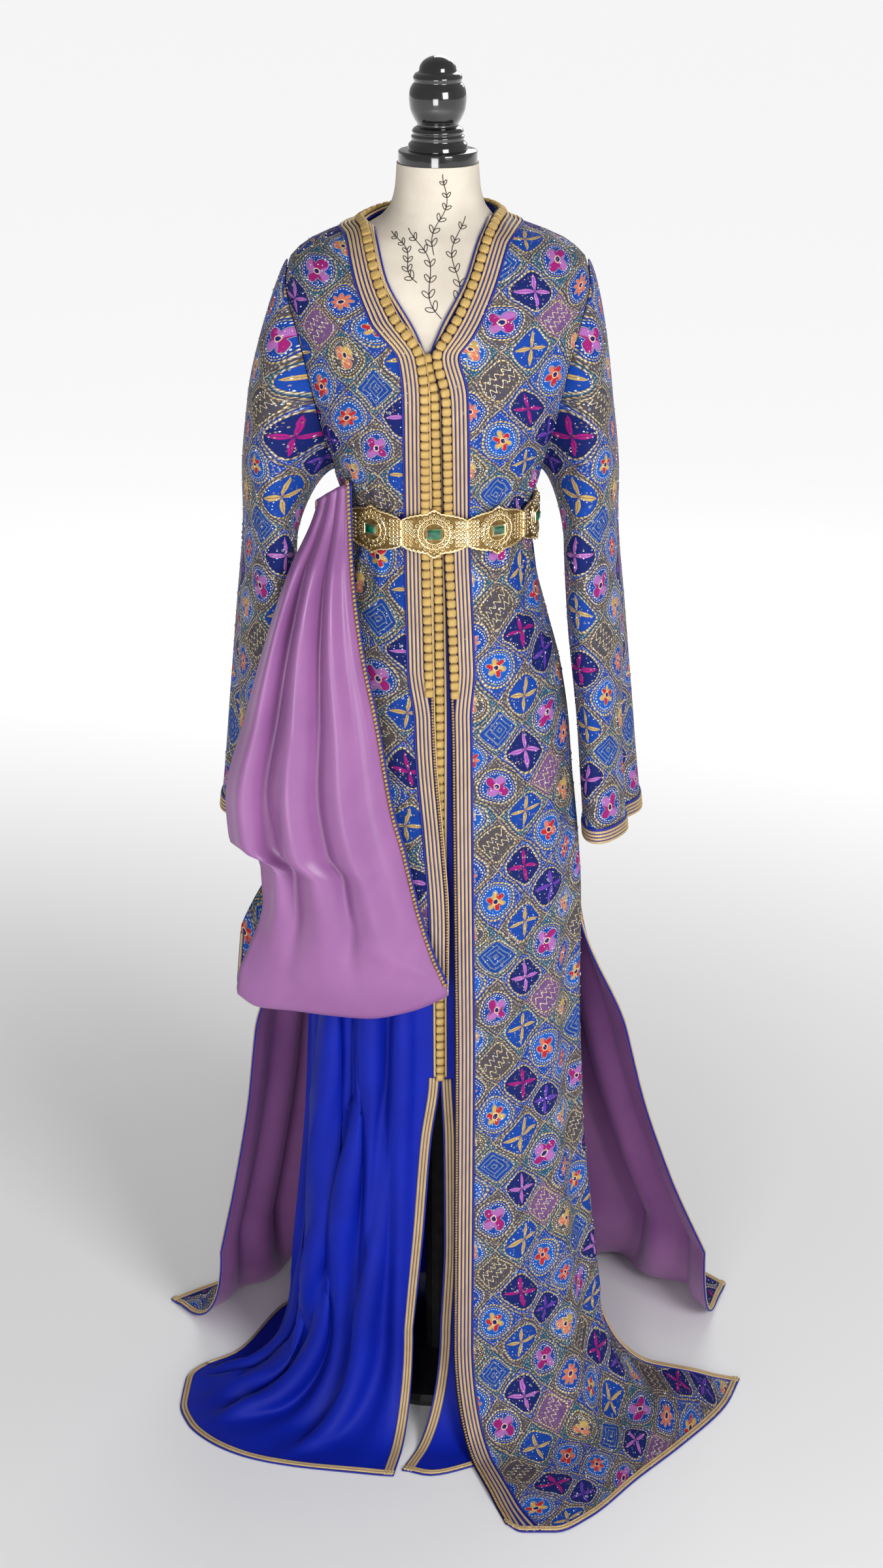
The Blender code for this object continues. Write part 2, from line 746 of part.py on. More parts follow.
def frontRun(panel, first, last):
    # Stations down a front edge: distances over each row of the panel's own points
    edge = panel[:, 0]
    along = unit(np.gradient(edge, axis=0))
    run = []
    for index in range(first, last):
        row = panel[index]
        travel = np.concatenate([[0], np.cumsum(np.linalg.norm(np.diff(row, axis=0), axis=-1))])
        slant = np.linalg.norm(np.cross(along[index], unit(row[1] - row[0])))
        reach = trimReach / max(slant, 0.5)
        run.append(np.stack([np.interp(reach, travel, row[:, axis]) for axis in range(3)], axis=-1))
    return np.array(run)


def outOf(run, side):
    along = unit(np.gradient(run[:, 0], axis=0))
    across = unit(run[:, 4] - run[:, 0])
    return unit(np.cross(along, across)) * side


def acrossRun(station, distance):
    return np.array([np.interp(distance, trimReach, station[:, axis]) for axis in range(3)])


def braidRings(run, side, cords, bases):
    # Cords side by side: a zigzag outside over a flat back. Under the last knot
    # they lie closer to the edge.
    rings = []
    starts = 0.0035 + 0.0060 * smoothStep(knotsEnd - 0.03, knotsEnd + 0.03, run[:, 0, 2])
    for station, out, base, start in zip(run, outOf(run, side), bases, starts):
        ring = []
        for index in range(2 * cords + 1):
            rise = cordRise if index % 2 else 0.0008
            ring.append(acrossRun(station, start + index * cordPitch / 2) + out * (base + rise))
        for index in (2 * cords, cords, 0):
            ring.append(acrossRun(station, start + index * cordPitch / 2) + out * base)
        rings.append(ring)
    return rings


def knotRings(run, side, middle, bases):
    # A row of round knots: wide and high at each knot, narrow and low between two
    line = np.array([acrossRun(station, middle) for station in run])
    travel = np.concatenate([[0], np.cumsum(np.linalg.norm(np.diff(line, axis=0), axis=-1))])
    count = int(travel[-1] / knotPitch) * 2 + 1
    places = np.linspace(0, travel[-1], count)
    flat = run.reshape(len(run), -1)
    stations = np.stack([np.interp(places, travel, column) for column in flat.T], axis=-1)
    stations = stations.reshape(count, len(trimReach), 3)
    bases = np.interp(places, travel, bases)
    rings = []
    for index, (station, out) in enumerate(zip(stations, outOf(stations, side))):
        wide, rise = (knotWidth / 2, 0.0036) if index % 2 else (knotWidth * 0.34, 0.0012)
        near, far = acrossRun(station, middle - wide), acrossRun(station, middle + wide)
        base = bases[index]
        peak = acrossRun(station, middle) + out * (base + rise)
        rings.append([near + out * base, peak, far + out * base])
    return rings


def addFrontTrims(side, panel, lastRow):
    # Braid down the whole edge, and knots inside it down to below the belt
    name = "left" if side < 0 else "right"
    firstRow = 2 if side > 0 else 1
    neck, front = neckRun(side), frontRun(panel, firstRow, lastRow)
    run = np.concatenate([neck, front])
    gap = np.concatenate([np.full(len(neck), neckTrimGap), np.full(len(front), trimGap)])
    gap[len(neck)] = gap[len(neck) + 1] = neckTrimGap
    base = embroideredThickness + gap
    addLoft("braid_" + name, braidRings(run, side, frontCords, base), gold)
    heights = run[:, 0, 2]
    ending = next(i for i, z in enumerate(heights) if i > 9 and z < knotsEnd)
    addLoft("knots_" + name, knotRings(run[:ending], side, knotWidth / 2, base[:ending]), gold)


def addMiddleKnots():
    # The underdress closes down the middle under one column of knots
    heights = np.array([1.322] + [height for height in underHeights if 0.46 < height < 1.32])
    middle = curveAt(underdressEdgeRows, heights).mean(axis=0)
    lift = curveAt(liftRows, heights)[0]
    run = []
    for offset in trimReach - trimReach[4]:
        angle = angleOf(middle + offset, heights)
        run.append(lifted(angle, heights, lift))
    run = np.stack(run, axis=1)
    base = np.full(len(run), crepeThickness + trimGap)
    addLoft("knots_middle", knotRings(run, 1, trimReach[4], base), gold)


def addCuffBraid(side, rings):
    # Cords round the cuff, outside the sleeve's last rings
    name = "cuff_braid_left" if side < 0 else "cuff_braid_right"
    low, high = rings[-1][:-1], rings[-2][:-1]
    onward, behind = unit(np.roll(low, -1, axis=0) - low), unit(low - np.roll(low, 1, axis=0))
    along = unit(onward + behind)
    out = unit(np.stack([along[:, 1], -along[:, 0], 0 * along[:, 0]], axis=-1))
    out *= np.sign(((low - low.mean(axis=0)) * out).sum())
    loops = []
    for point, above, away in zip(low, high, out):
        upward = unit(above - point)
        start = point + away * (embroideredThickness + cuffTrimGap) + upward * 0.0005
        ring = []
        for index in range(2 * cuffCords + 1):
            rise = cordRise if index % 2 else 0.0008
            ring.append(start + upward * (index * cordPitch / 2) + away * rise)
        ring.append(start + upward * (cuffCords * cordPitch))
        ring.append(start)
        loops.append(ring)
    addLoft(name, loops, gold, closedRun=True)


# The belt

def beltRing():
    # Plan of the belt's inner face and the distance round it, from the front
    angles = np.linspace(0, 2 * math.pi, 721)
    ring = lifted(angles, np.full(721, beltHeight + beltRingRise), np.full(721, beltLift))
    ring[:, 2] = 0
    travel = np.concatenate([[0], np.cumsum(np.linalg.norm(np.diff(ring, axis=0), axis=-1))])
    return ring, travel


def plateOutline(share):
    # Half height of a plate along its length, scalloped, with a crown in the middle
    crown = (plateMiddle - plateShoulder) * np.exp(-((share / 0.16) ** 2))
    shoulder = (plateShoulder - plateHinge) * (1 - np.abs(share) ** 2.6)
    return plateHinge + shoulder + crown


def addBelt():
    ring, travel = beltRing()
    pitch = travel[-1] / plateCount
    for index in range(plateCount):
        middle = (index * pitch - beltTurn) % travel[-1]
        shares = np.array([-1, -0.72, -0.42, -0.2, 0, 0.2, 0.42, 0.72, 1])
        places = (middle + shares * (pitch / 2 - 0.0003)) % travel[-1]
        plan = np.stack([np.interp(places, travel, ring[:, axis]) for axis in range(3)], axis=-1)
        half = plateOutline(shares)
        rows = [plan + np.array([0, 0, 1]) * (beltHeight + half * side)[:, None] for side in (1, -1)]
        number = "%02d" % (index + 1)
        addWall("belt_plate_" + number, np.array(rows), plateThickness, brass, flip=True)
        addStone(number, plan, travel, index)


def addStone(number, plan, travel, index):
    # A step-cut stone in its setting, in front of the middle of its plate
    along = unit(plan[5] - plan[3])
    out = np.array([along[1], -along[0], 0])
    half = np.array([0.0075, 0.0052]) if index == 0 else np.array([0.0062, 0.0047])
    back = plan[4] + out * (plateThickness + turnedGap) + np.array([0, 0, beltHeight])
    rings = []
    for depth, share in ((0, 1.0), (0.0020, 1.0), (0.0040, 0.7)):
        corners = ((-1, -1), (1, -1), (1, 1), (-1, 1))
        rings.append([
            back + out * depth + along * half[0] * share * u + np.array([0, 0, half[1] * share * v])
            for u, v in corners
        ])
    addLoft("stone_" + number, rings, emerald)


# The whole part

addTorso()
addStand()

leftUnder, rightUnder, backUnder = underdressFront(-1), underdressFront(1), underdressBack()
addWall("underdress_front_left", leftUnder, crepeThickness, crepe)
addWall("underdress_front_right", rightUnder, crepeThickness, crepe, flip=True)
addWall("underdress_back", backUnder, crepeThickness, crepe, flip=True)
addMiddleKnots()

leftOver, rightOver, backOver = overdressFrontLeft(), overdressFrontRight(), overdressBack()
addWall("overdress_front_left", leftOver, embroideredThickness, embroidery)
addWall("overdress_front_right", rightOver, embroideredThickness, embroidery, flip=True)
addWall("overdress_back", backOver, embroideredThickness, embroidery, flip=True)
addFrontTrims(-1, leftOver, len(swagHeights))
addFrontTrims(1, rightOver, len(rightOver))

for side, name in ((-1, "sleeve_left"), (1, "sleeve_right")):
    rings = sleeve(side)
    addWall(name, rings, embroideredThickness, embroidery, closed=True, flip=side < 0)
    addCuffBraid(side, rings)

addBelt()
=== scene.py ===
# A two-piece kaftan on a dress form, finished for a soft studio picture.
# Metres, +Z up, the front faces -Y. The tables and curves repeat the part's own.
import contextlib
import math

import bmesh
import bpy
import numpy as np
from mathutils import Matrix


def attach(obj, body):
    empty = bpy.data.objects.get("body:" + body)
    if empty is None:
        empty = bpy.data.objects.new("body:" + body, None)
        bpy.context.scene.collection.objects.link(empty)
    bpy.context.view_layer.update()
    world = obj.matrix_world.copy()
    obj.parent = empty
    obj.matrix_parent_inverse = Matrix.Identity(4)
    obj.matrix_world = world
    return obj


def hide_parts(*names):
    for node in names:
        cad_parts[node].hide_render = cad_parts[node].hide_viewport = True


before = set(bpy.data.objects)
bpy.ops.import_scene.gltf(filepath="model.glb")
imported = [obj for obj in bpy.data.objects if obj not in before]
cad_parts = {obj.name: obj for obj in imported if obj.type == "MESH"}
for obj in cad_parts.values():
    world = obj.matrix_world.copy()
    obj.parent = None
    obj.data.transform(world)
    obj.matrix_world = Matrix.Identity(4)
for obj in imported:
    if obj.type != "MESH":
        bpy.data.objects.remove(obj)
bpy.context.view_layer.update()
dice = np.random.default_rng(11)


# The camera stands higher than the finial and looks down at the train

view = {"place": (0.004, -2.95, 1.97), "down": 21.83, "lens": 61.84, "sensor": 36.0}


def addCamera():
    made = bpy.data.cameras.new("camera")
    made.lens, made.sensor_width = view["lens"], view["sensor"]
    made.clip_start, made.clip_end = 0.05, 60
    eye = bpy.data.objects.new("camera", made)
    eye.location = view["place"]
    eye.rotation_euler = (math.radians(90 - view["down"]), 0, 0)
    bpy.context.scene.collection.objects.link(eye)
    bpy.context.scene.camera = eye


addCamera()
print("camera")


# Sizes of cloth and trims

cloth = {
    "crepe": 0.0015, "embroidered": 0.0020, "seamGap": 0.0004, "rowStep": 0.0081,
}
heightsOf = {
    "neckTop": 1.512, "armholeTop": 1.405, "armholeBottom": 1.175, "corner": 0.130,
    "reach": 0.085, "overdressFloor": 0.0023, "swagTop": 1.166, "belt": 1.124, "knotsEnd": 0.940,
    "shoulder": 1.456, "leftShoulder": 1.446, "neckCurve": 1.436, "slitTop": 0.645, "frontSlitTop": 0.465,
    "neckV": 1.30,
}
swagFold, swagRoll, swagTuck, swagTopDrop = 0.013, 0.005, 0.008, 0.022
sleeveFold, sleeveFoldWidth, sleeveOut, leftSleeveShift = 0.013, 16.0, 0.0030, 0.017
slitFlare, slitFlareDepth, backLean, neckDip = 0.030, 0.055, 0.025, 0.010
figureRoundness, armholeTurn = 0.92, 25
# Widths that set how many columns a panel's mesh has
meshWidths = {
    "right": 0.42, "left": 0.40, "back": 0.95, "underLeft": 0.48, "underRight": 0.36, "underBack": 0.48,
}

# The figure that every layer is measured from: height, half width, front depth, back depth
figureRows = (
    (0.130, 0.162, 0.140, 0.142),
    (0.250, 0.150, 0.130, 0.134),
    (0.380, 0.140, 0.120, 0.124),
    (0.520, 0.137, 0.115, 0.117),
    (0.700, 0.143, 0.112, 0.112),
    (0.860, 0.138, 0.104, 0.106),
    (0.930, 0.130, 0.099, 0.102),
    (1.000, 0.114, 0.092, 0.094),
    (1.060, 0.101, 0.085, 0.083),
    (1.120, 0.096, 0.082, 0.074),
    (1.180, 0.108, 0.092, 0.077),
    (1.240, 0.130, 0.106, 0.082),
    (1.290, 0.146, 0.110, 0.086),
    (1.340, 0.156, 0.104, 0.088),
    (1.380, 0.161, 0.092, 0.085),
    (1.405, 0.157, 0.082, 0.079),
    (1.421, 0.141, 0.074, 0.072),
    (1.436, 0.108, 0.066, 0.065),
    (1.446, 0.078, 0.059, 0.060),
    (1.456, 0.061, 0.053, 0.055),
    (1.470, 0.051, 0.048, 0.050),
    (1.490, 0.0465, 0.0460, 0.0465),
    (1.530, 0.0440, 0.0440, 0.0440),
)
# How far each layer stands off the figure: height, underdress, overdress
liftRows = (
    (0.130, 0.004, 0.034),
    (0.380, 0.004, 0.030),
    (0.645, 0.005, 0.024),
    (0.840, 0.004, 0.014),
    (1.000, 0.003, 0.010),
    (1.120, 0.002, 0.006),
    (1.240, 0.003, 0.008),
    (1.350, 0.003, 0.0068),
    (1.385, 0.0028, 0.0056),
    (1.405, 0.0016, 0.0042),
    (1.470, 0.0016, 0.0042),
)
# Front edges, as distances from the middle plane: height, left edge, right edge
overdressEdgeRows = (
    (0.130, 0.016, 0.017),
    (0.500, 0.016, 0.018),
    (0.640, 0.013, 0.017),
    (0.760, 0.006, 0.016),
    (0.880, -0.003, 0.015),
    (1.000, -0.006, 0.011),
    (1.100, -0.008, 0.007),
    (1.280, -0.009, 0.004),
    (1.325, -0.014, -0.006),
    (1.345, -0.026, 0.005),
    (1.360, -0.039, 0.015),
    (1.400, -0.059, 0.034),
    (1.437, -0.069, 0.047),
    (1.456, -0.075, 0.057),
)
underdressEdgeRows = (
    (0.130, -0.0310, 0.0030),
    (0.250, -0.0185, 0.0080),
    (0.380, -0.0085, 0.0070),
    (0.465, 0.0015, 0.0035),
    (0.640, 0.0018, 0.0022),
    (0.900, 0.0018, 0.0022),
    (1.100, -0.0004, 0.0000),
    (1.280, -0.0034, -0.0030),
    (1.320, -0.0120, -0.0085),
    (1.345, -0.0220, 0.0000),
    (1.400, -0.0545, 0.0295),
    (1.437, -0.0645, 0.0425),
    (1.456, -0.0700, 0.0530),
)
# Folds of the skirts: degrees round from the front, rise at the floor, half width in degrees
underdressFolds = (
    (-83, 0.022, 4.5),
    (-69, 0.016, 4.0),
    (-56, 0.022, 4.0),
    (-42, 0.016, 4.0),
    (-29, 0.020, 4.0),
    (-15, 0.013, 3.5),
    (22, 0.008, 5.0),
    (48, 0.010, 6.0),
    (76, 0.008, 6.0),
    (115, 0.010, 8.0),
    (150, 0.012, 8.0),
    (185, 0.010, 8.0),
    (220, 0.012, 8.0),
    (250, 0.010, 7.0),
)
overdressFolds = (
    (30, 0.006, 7.0),
    (52, 0.010, 7.0),
    (74, 0.012, 6.0),
    (106, 0.020, 6.0),
    (130, 0.026, 7.0),
    (155, 0.022, 7.0),
    (180, 0.026, 7.0),
    (205, 0.022, 7.0),
    (230, 0.026, 7.0),
    (254, 0.018, 6.0),
)
foldSwellRows = ((0.130, 1.00), (0.380, 0.85), (0.645, 0.50), (0.860, 0.15), (1.000, 0.00))
# Hems on the floor: degrees round, x, y
underdressHem = (
    (-100, -0.262, -0.004),
    (-90, -0.300, -0.030),
    (-80, -0.319, -0.062),
    (-68, -0.321, -0.116),
    (-56, -0.309, -0.157),
    (-44, -0.279, -0.195),
    (-32, -0.229, -0.227),
    (-20, -0.173, -0.244),
    (-12, -0.110, -0.255),
    (-4, -0.054, -0.263),
    (0, -0.043, -0.252),
    (8, -0.010, -0.262),
    (20, 0.050, -0.240),
    (45, 0.150, -0.190),
    (70, 0.200, -0.090),
    (90, 0.212, 0.000),
    (120, 0.200, 0.100),
    (150, 0.118, 0.176),
    (180, 0.000, 0.205),
    (210, -0.118, 0.180),
    (240, -0.205, 0.110),
)
overdressFrontHem = (
    (0, 0.080, -0.355),
    (14, 0.100, -0.370),
    (24, 0.137, -0.370),
    (34, 0.176, -0.344),
    (52, 0.239, -0.268),
    (68, 0.300, -0.198),
    (82, 0.359, -0.118),
    (90, 0.381, -0.062),
)
overdressBackHem = (
    (90, 0.385, 0.160),
    (100, 0.352, 0.196),
    (115, 0.290, 0.250),
    (140, 0.170, 0.310),
    (180, 0.000, 0.335),
    (220, -0.150, 0.290),
    (240, -0.215, 0.225),
    (255, -0.275, 0.178),
    (264, -0.320, 0.148),
    (270, -0.355, 0.122),
)
# The back skirt opens out below the side slits: height, left factor, right factor
backSpreadRows = (
    (0.130, 1.26, 1.58),
    (0.250, 1.22, 1.42),
    (0.460, 1.16, 1.20),
    (0.645, 1.00, 1.00),
    (0.700, 1.00, 1.00),
)
# The sleeve: height, middle x, middle y, half width, half depth, lean of the depth
sleeveRows = (
    (0.740, 0.2075, 0.012, 0.026, 0.080, 0.30),
    (0.800, 0.2020, 0.012, 0.026, 0.081, 0.28),
    (0.886, 0.1945, 0.012, 0.027, 0.082, 0.24),
    (1.000, 0.1825, 0.010, 0.029, 0.084, 0.20),
    (1.100, 0.1745, 0.008, 0.028, 0.086, 0.16),
    (1.175, 0.1720, 0.006, 0.030, 0.082, 0.10),
    (1.280, 0.1640, 0.004, 0.027, 0.076, 0.04),
    (1.360, 0.1600, 0.002, 0.026, 0.062, 0.00),
    (1.405, 0.1500, 0.000, 0.024, 0.050, 0.00),
)
# The turned-up panel: height, front edge x and y, outer side x and y, bulge between
swagRows = (
    (0.550, 0.016, -0.176, -0.238, -0.118, 0.016),
    (0.600, 0.012, -0.176, -0.232, -0.118, 0.024),
    (0.640, -0.004, -0.172, -0.217, -0.120, 0.028),
    (0.697, -0.022, -0.168, -0.204, -0.124, 0.030),
    (0.740, -0.032, -0.164, -0.204, -0.124, 0.030),
    (0.768, -0.038, -0.162, -0.238, -0.120, 0.030),
    (0.817, -0.051, -0.158, -0.241, -0.120, 0.028),
    (0.919, -0.068, -0.148, -0.216, -0.118, 0.024),
    (1.010, -0.086, -0.132, -0.190, -0.110, 0.020),
    (1.085, -0.095, -0.108, -0.163, -0.092, 0.016),
    (1.124, -0.097, -0.090, -0.142, -0.060, 0.012),
    (1.170, -0.098, -0.070, -0.126, -0.044, 0.006),
)
swagBottomRows = ((0.0, 0.592), (0.2, 0.572), (0.4, 0.561), (0.7, 0.560), (0.9, 0.556), (1.0, 0.566))
# Folds that run from the tuck to the bottom: share across, rise, half width
swagFolds = (
    (0.08, 0.005, 0.050), (0.27, 0.013, 0.100), (0.45, -0.013, 0.040), (0.61, 0.015, 0.090),
    (0.77, -0.016, 0.035), (0.89, 0.013, 0.060),
)


# Curves and the layers on the figure

def curveAt(rows, key):
    table = np.array(rows, float)
    keys, values = table[:, 0], table[:, 1:]
    slopes = np.diff(values, axis=0) / np.diff(keys)[:, None]
    tangents = np.zeros_like(values)
    tangents[0], tangents[-1] = slopes[0], slopes[-1]
    before, after = slopes[:-1], slopes[1:]
    together = before * after > 0
    total = np.where(together, before + after, 1.0)
    tangents[1:-1] = np.where(together, 2 * before * after / total, 0.0)
    key = np.clip(np.asarray(key, float), keys[0], keys[-1])
    low = np.clip(np.searchsorted(keys, key, side="right") - 1, 0, len(keys) - 2)
    span = (keys[low + 1] - keys[low])[..., None]
    part = (key - keys[low])[..., None] / span
    result = (
        (2 * part**3 - 3 * part**2 + 1) * values[low]
        + (part**3 - 2 * part**2 + part) * span * tangents[low]
        + (3 * part**2 - 2 * part**3) * values[low + 1]
        + (part**3 - part**2) * span * tangents[low + 1]
    )
    return np.moveaxis(result, -1, 0)


def smoothStep(low, high, value):
    part = np.clip((value - low) / (high - low), 0, 1)
    return part * part * (3 - 2 * part)


def density():
    return 1


def unit(vectors):
    return vectors / np.maximum(np.linalg.norm(vectors, axis=-1, keepdims=True), 1e-12)


def travelOf(line):
    steps = np.linalg.norm(np.diff(line, axis=0), axis=-1)
    return np.concatenate([[0], np.cumsum(steps)])


def figure(angle, height):
    half, front, back = curveAt(figureRows, height)
    across, forward = np.sin(angle), np.cos(angle)
    depth = np.where(forward > 0, front, back)
    x = half * np.sign(across) * np.abs(across) ** figureRoundness
    y = -depth * np.sign(forward) * np.abs(forward) ** figureRoundness
    return np.stack(np.broadcast_arrays(x, y, height), axis=-1)


def lifted(angle, height, lift):
    angle, height = np.broadcast_arrays(np.asarray(angle, float), np.asarray(height, float))
    turned = figure(angle + 0.02, height) - figure(angle - 0.02, height)
    upward = figure(angle, height + 0.002) - figure(angle, height - 0.002)
    return figure(angle, height) + unit(np.cross(turned, upward)) * np.asarray(lift)[..., None]


def angleOf(x, height):
    half = curveAt(figureRows, height)[0]
    share = np.clip(np.abs(x) / half, 0, 1) ** (1 / figureRoundness)
    return np.sign(x) * np.arcsin(share)


def foldLift(folds, angle, height):
    degrees = np.degrees(angle)
    swell = curveAt(foldSwellRows, height)[0]
    return swell * sum(rise * np.exp(-(((degrees - at) / wide) ** 2)) for at, rise, wide in folds)


def armholeGap(height):
    low, high = heightsOf["armholeBottom"], heightsOf["armholeTop"]
    part = np.clip((height - low) / (high - low), 0, 1)
    return math.radians(armholeTurn) * np.sin(math.pi * part) ** 0.7


def waistTucks(angle, height):
    # Short gathers that the belt presses into the cloth above and below it
    away = height - heightsOf["belt"]
    near = np.exp(-(((np.abs(away) - 0.045) / 0.030) ** 2))
    wave = 0.6 * np.sin(angle * 27 + 1.3 * np.sin(angle * 5)) + 0.4 * np.sin(angle * 41 + 2.0)
    sides = smoothStep(0.25, 0.6, np.abs(np.sin(angle)))
    return 0.0022 * near * wave * sides


def ontoFloor(foot, hem, travel, ground, ripple):
    run = hem - foot[..., :2]
    reach = np.linalg.norm(run, axis=-1)
    turn = np.minimum(heightsOf["reach"], 0.7 * reach)
    bend = np.clip(travel / 0.5, 0, 1) * math.pi / 2
    flat = np.clip((travel - 0.5) / 0.5, 0, 1)
    distance = turn * (1 - np.cos(bend)) + (reach - turn) * flat
    plan = foot[..., :2] + run * (distance / reach)[..., None]
    height = ground + (heightsOf["corner"] - ground) * (1 - np.sin(bend)) + ripple
    return np.concatenate([plan, height[..., None]], axis=-1)


def rowsBetween(top, bottom):
    return np.linspace(top, bottom, int(round((top - bottom) / (cloth["rowStep"] * density()))) + 1)


def sharesFor(width):
    return np.linspace(0, 1, int(round(width / (cloth["rowStep"] * density()))) + 1)


def skirtPanel(shares, heights, edgeOf, sideOf, column, folds, hem, ground, spread=None, neck=None):
    # Body rows, then floor rows, of one panel
    heights = np.array(heights)[:, None] + 0 * shares[None, :]
    if neck is not None:
        top, under = heights[0, 0], heightsOf["neckCurve"]
        part = np.clip((heights - under) / (top - under), 0, 1)
        heights = np.where(part > 0, under + (neck(shares)[None, :] - under) * part, heights)
    angle = edgeOf(heights) + (sideOf(heights) - edgeOf(heights)) * shares
    lift = curveAt(liftRows, heights)[column] + foldLift(folds, angle, heights)
    if column == 1:
        lift = lift + waistTucks(angle, heights)
    rows = lifted(angle, heights, lift)
    if spread is not None:
        rows = spread(rows)
    foot = rows[-1]
    hemPlan = np.stack(hem(shares), axis=-1)
    ripple = foldLift(folds, angle[-1], heightsOf["corner"])
    floorRows = []
    for travel in np.linspace(0, 1, 34)[1:]:
        level = ground * (1 - smoothStep(0.72, 0.86, travel))
        fade = 0.45 * (1 - travel) * smoothStep(0.1, 0.5, travel)
        travels = np.full(foot.shape[:1], travel)
        floorRows.append(ontoFloor(foot, hemPlan, travels, level, ripple * fade))
    return np.concatenate([rows, np.array(floorRows)], axis=0)


def sideLine(side):
    return lambda height: side * (math.pi / 2 - cloth["seamGap"] / 0.25 - armholeGap(height))


def frontEdge(rows, column):
    return lambda height: angleOf(curveAt(rows, height)[column], height)


def hemBetween(rows, start, end):
    return lambda shares: curveAt(rows, start + (end - start) * np.asarray(shares))


def backNeck(shares):
    shares = np.asarray(shares)
    return heightsOf["shoulder"] + neckDip * (np.sin(math.pi * shares) - shares)


def spreadBack(rows):
    left, right = curveAt(backSpreadRows, rows[..., 2])
    factor = np.where(rows[..., 0] < 0, left, right)
    opened = rows.copy()
    opened[..., 0] *= factor
    # Below the slits the side edges turn outwards and show the lining
    top = heightsOf["slitTop"]
    beside = smoothStep(slitFlareDepth, 0, rows[..., 1]) * smoothStep(top, 0.450, rows[..., 2])
    opened[..., 0] += np.sign(rows[..., 0]) * slitFlare * beside
    opened[..., 1] += backLean * smoothStep(top, 0.250, rows[..., 2])
    return opened


def bodyRows(side):
    top = heightsOf["leftShoulder" if side < 0 else "shoulder"]
    return rowsBetween(top, heightsOf["corner"])


def backPanel(shares, column, folds, hem, ground, spread=None):
    return skirtPanel(
        shares, bodyRows(1), lambda height: math.pi - sideLine(1)(height),
        lambda height: math.pi + sideLine(1)(height), column, folds, hem, ground, spread, backNeck,
    )


def overdressFrontRight():
    return skirtPanel(
        sharesFor(meshWidths["right"]), bodyRows(1), frontEdge(overdressEdgeRows, 1), sideLine(1), 1,
        overdressFolds, hemBetween(overdressFrontHem, 0, 90), heightsOf["overdressFloor"],
    )


def overdressBack():
    return backPanel(
        sharesFor(meshWidths["back"]), 1, overdressFolds, hemBetween(overdressBackHem, 90, 270),
        heightsOf["overdressFloor"], spreadBack,
    )


def underdressFront(side):
    hemStart, hemEnd = (-4, -89.6) if side < 0 else (0, 89.6)
    return skirtPanel(
        sharesFor(meshWidths["underLeft" if side < 0 else "underRight"]), bodyRows(side),
        frontEdge(underdressEdgeRows, 0 if side < 0 else 1), sideLine(side), 0,
        underdressFolds, hemBetween(underdressHem, hemStart, hemEnd), 0.0,
    )


def underdressBack():
    hem = [(degrees + 360 if degrees < 0 else degrees, x, y) for degrees, x, y in underdressHem]
    hem = sorted(row for row in hem if row[0] >= 90 and row[0] <= 270)
    shares = sharesFor(meshWidths["underBack"])
    return backPanel(shares, 0, underdressFolds, hemBetween(hem, 90.4, 269.6), 0.0)


def swagFront(share, height):
    edgeX, edgeY, outerX, outerY, bulge = curveAt(swagRows, height)
    bow = bulge * np.sin(math.pi * share) ** 0.8
    crease = sum(rise * np.exp(-(((share - at) / wide) ** 2)) for at, rise, wide in swagFolds)
    crease = crease * smoothStep(0.57, 0.80, height) * (1 - 0.85 * smoothStep(1.02, 1.160, height))
    x = edgeX + (outerX - edgeX) * share - 0.3 * crease
    y = edgeY + (outerY - edgeY) * share - bow - crease
    return np.stack(np.broadcast_arrays(x, y, height), axis=-1)


def turnedLeftRows():
    return rowsBetween(heightsOf["leftShoulder"], heightsOf["slitTop"])


def halfTurn():
    return np.radians(np.arange(15, 180, 15))


def overdressFrontLeft():
    # Down the body, round the fold at the bottom, and up again to the belt
    shares = sharesFor(meshWidths["left"])
    edge, side = frontEdge(overdressEdgeRows, 0), sideLine(-1)
    bottom = curveAt(swagBottomRows, shares)[0]
    foldFront = swagFront(shares, bottom + swagFold)
    foldBack = foldFront + np.array([0, 2 * swagFold, 0])
    heights = turnedLeftRows()[:, None] + 0 * shares[None, :]
    angle = edge(heights) + (side(heights) - edge(heights)) * shares
    hanging = lifted(angle, heights, curveAt(liftRows, heights)[1] + waistTucks(angle, heights))
    settle = smoothStep(0.76, 0.62, heights)[..., None]
    hanging[..., :2] += (foldBack[None, :, :2] - hanging[..., :2]) * settle
    leadCount = len(rowsBetween(0.640, bottom.mean() + swagFold + 0.002))
    rows = list(hanging)
    for index in range(1, leadCount):
        rows.append(hanging[-1] + (foldBack - hanging[-1]) * index / leadCount)
    rows.append(foldBack)
    for swing in halfTurn():
        rows.append(foldBack - swagFold * np.array([0, 1 - math.cos(swing), math.sin(swing)]))
    rows.append(foldFront)
    foldRow = len(rows)
    top = heightsOf["swagTop"] - swagTopDrop * shares**2
    for part in np.linspace(0, 1, 80 // density())[1:]:
        height = bottom + swagFold + (top - bottom - swagFold) * part
        rows.append(swagFront(shares, height))
    # The top rolls back over the belt
    last = rows[-1]
    for swing in (*halfTurn(), math.pi):
        rows.append(last + swagRoll * np.array([0, 1 - math.cos(swing), math.sin(swing)]))
    for share in (0.5, 1.0):
        rows.append(last + np.array([0, 2 * swagRoll, -swagTuck * share]))
    return np.array(rows), foldRow


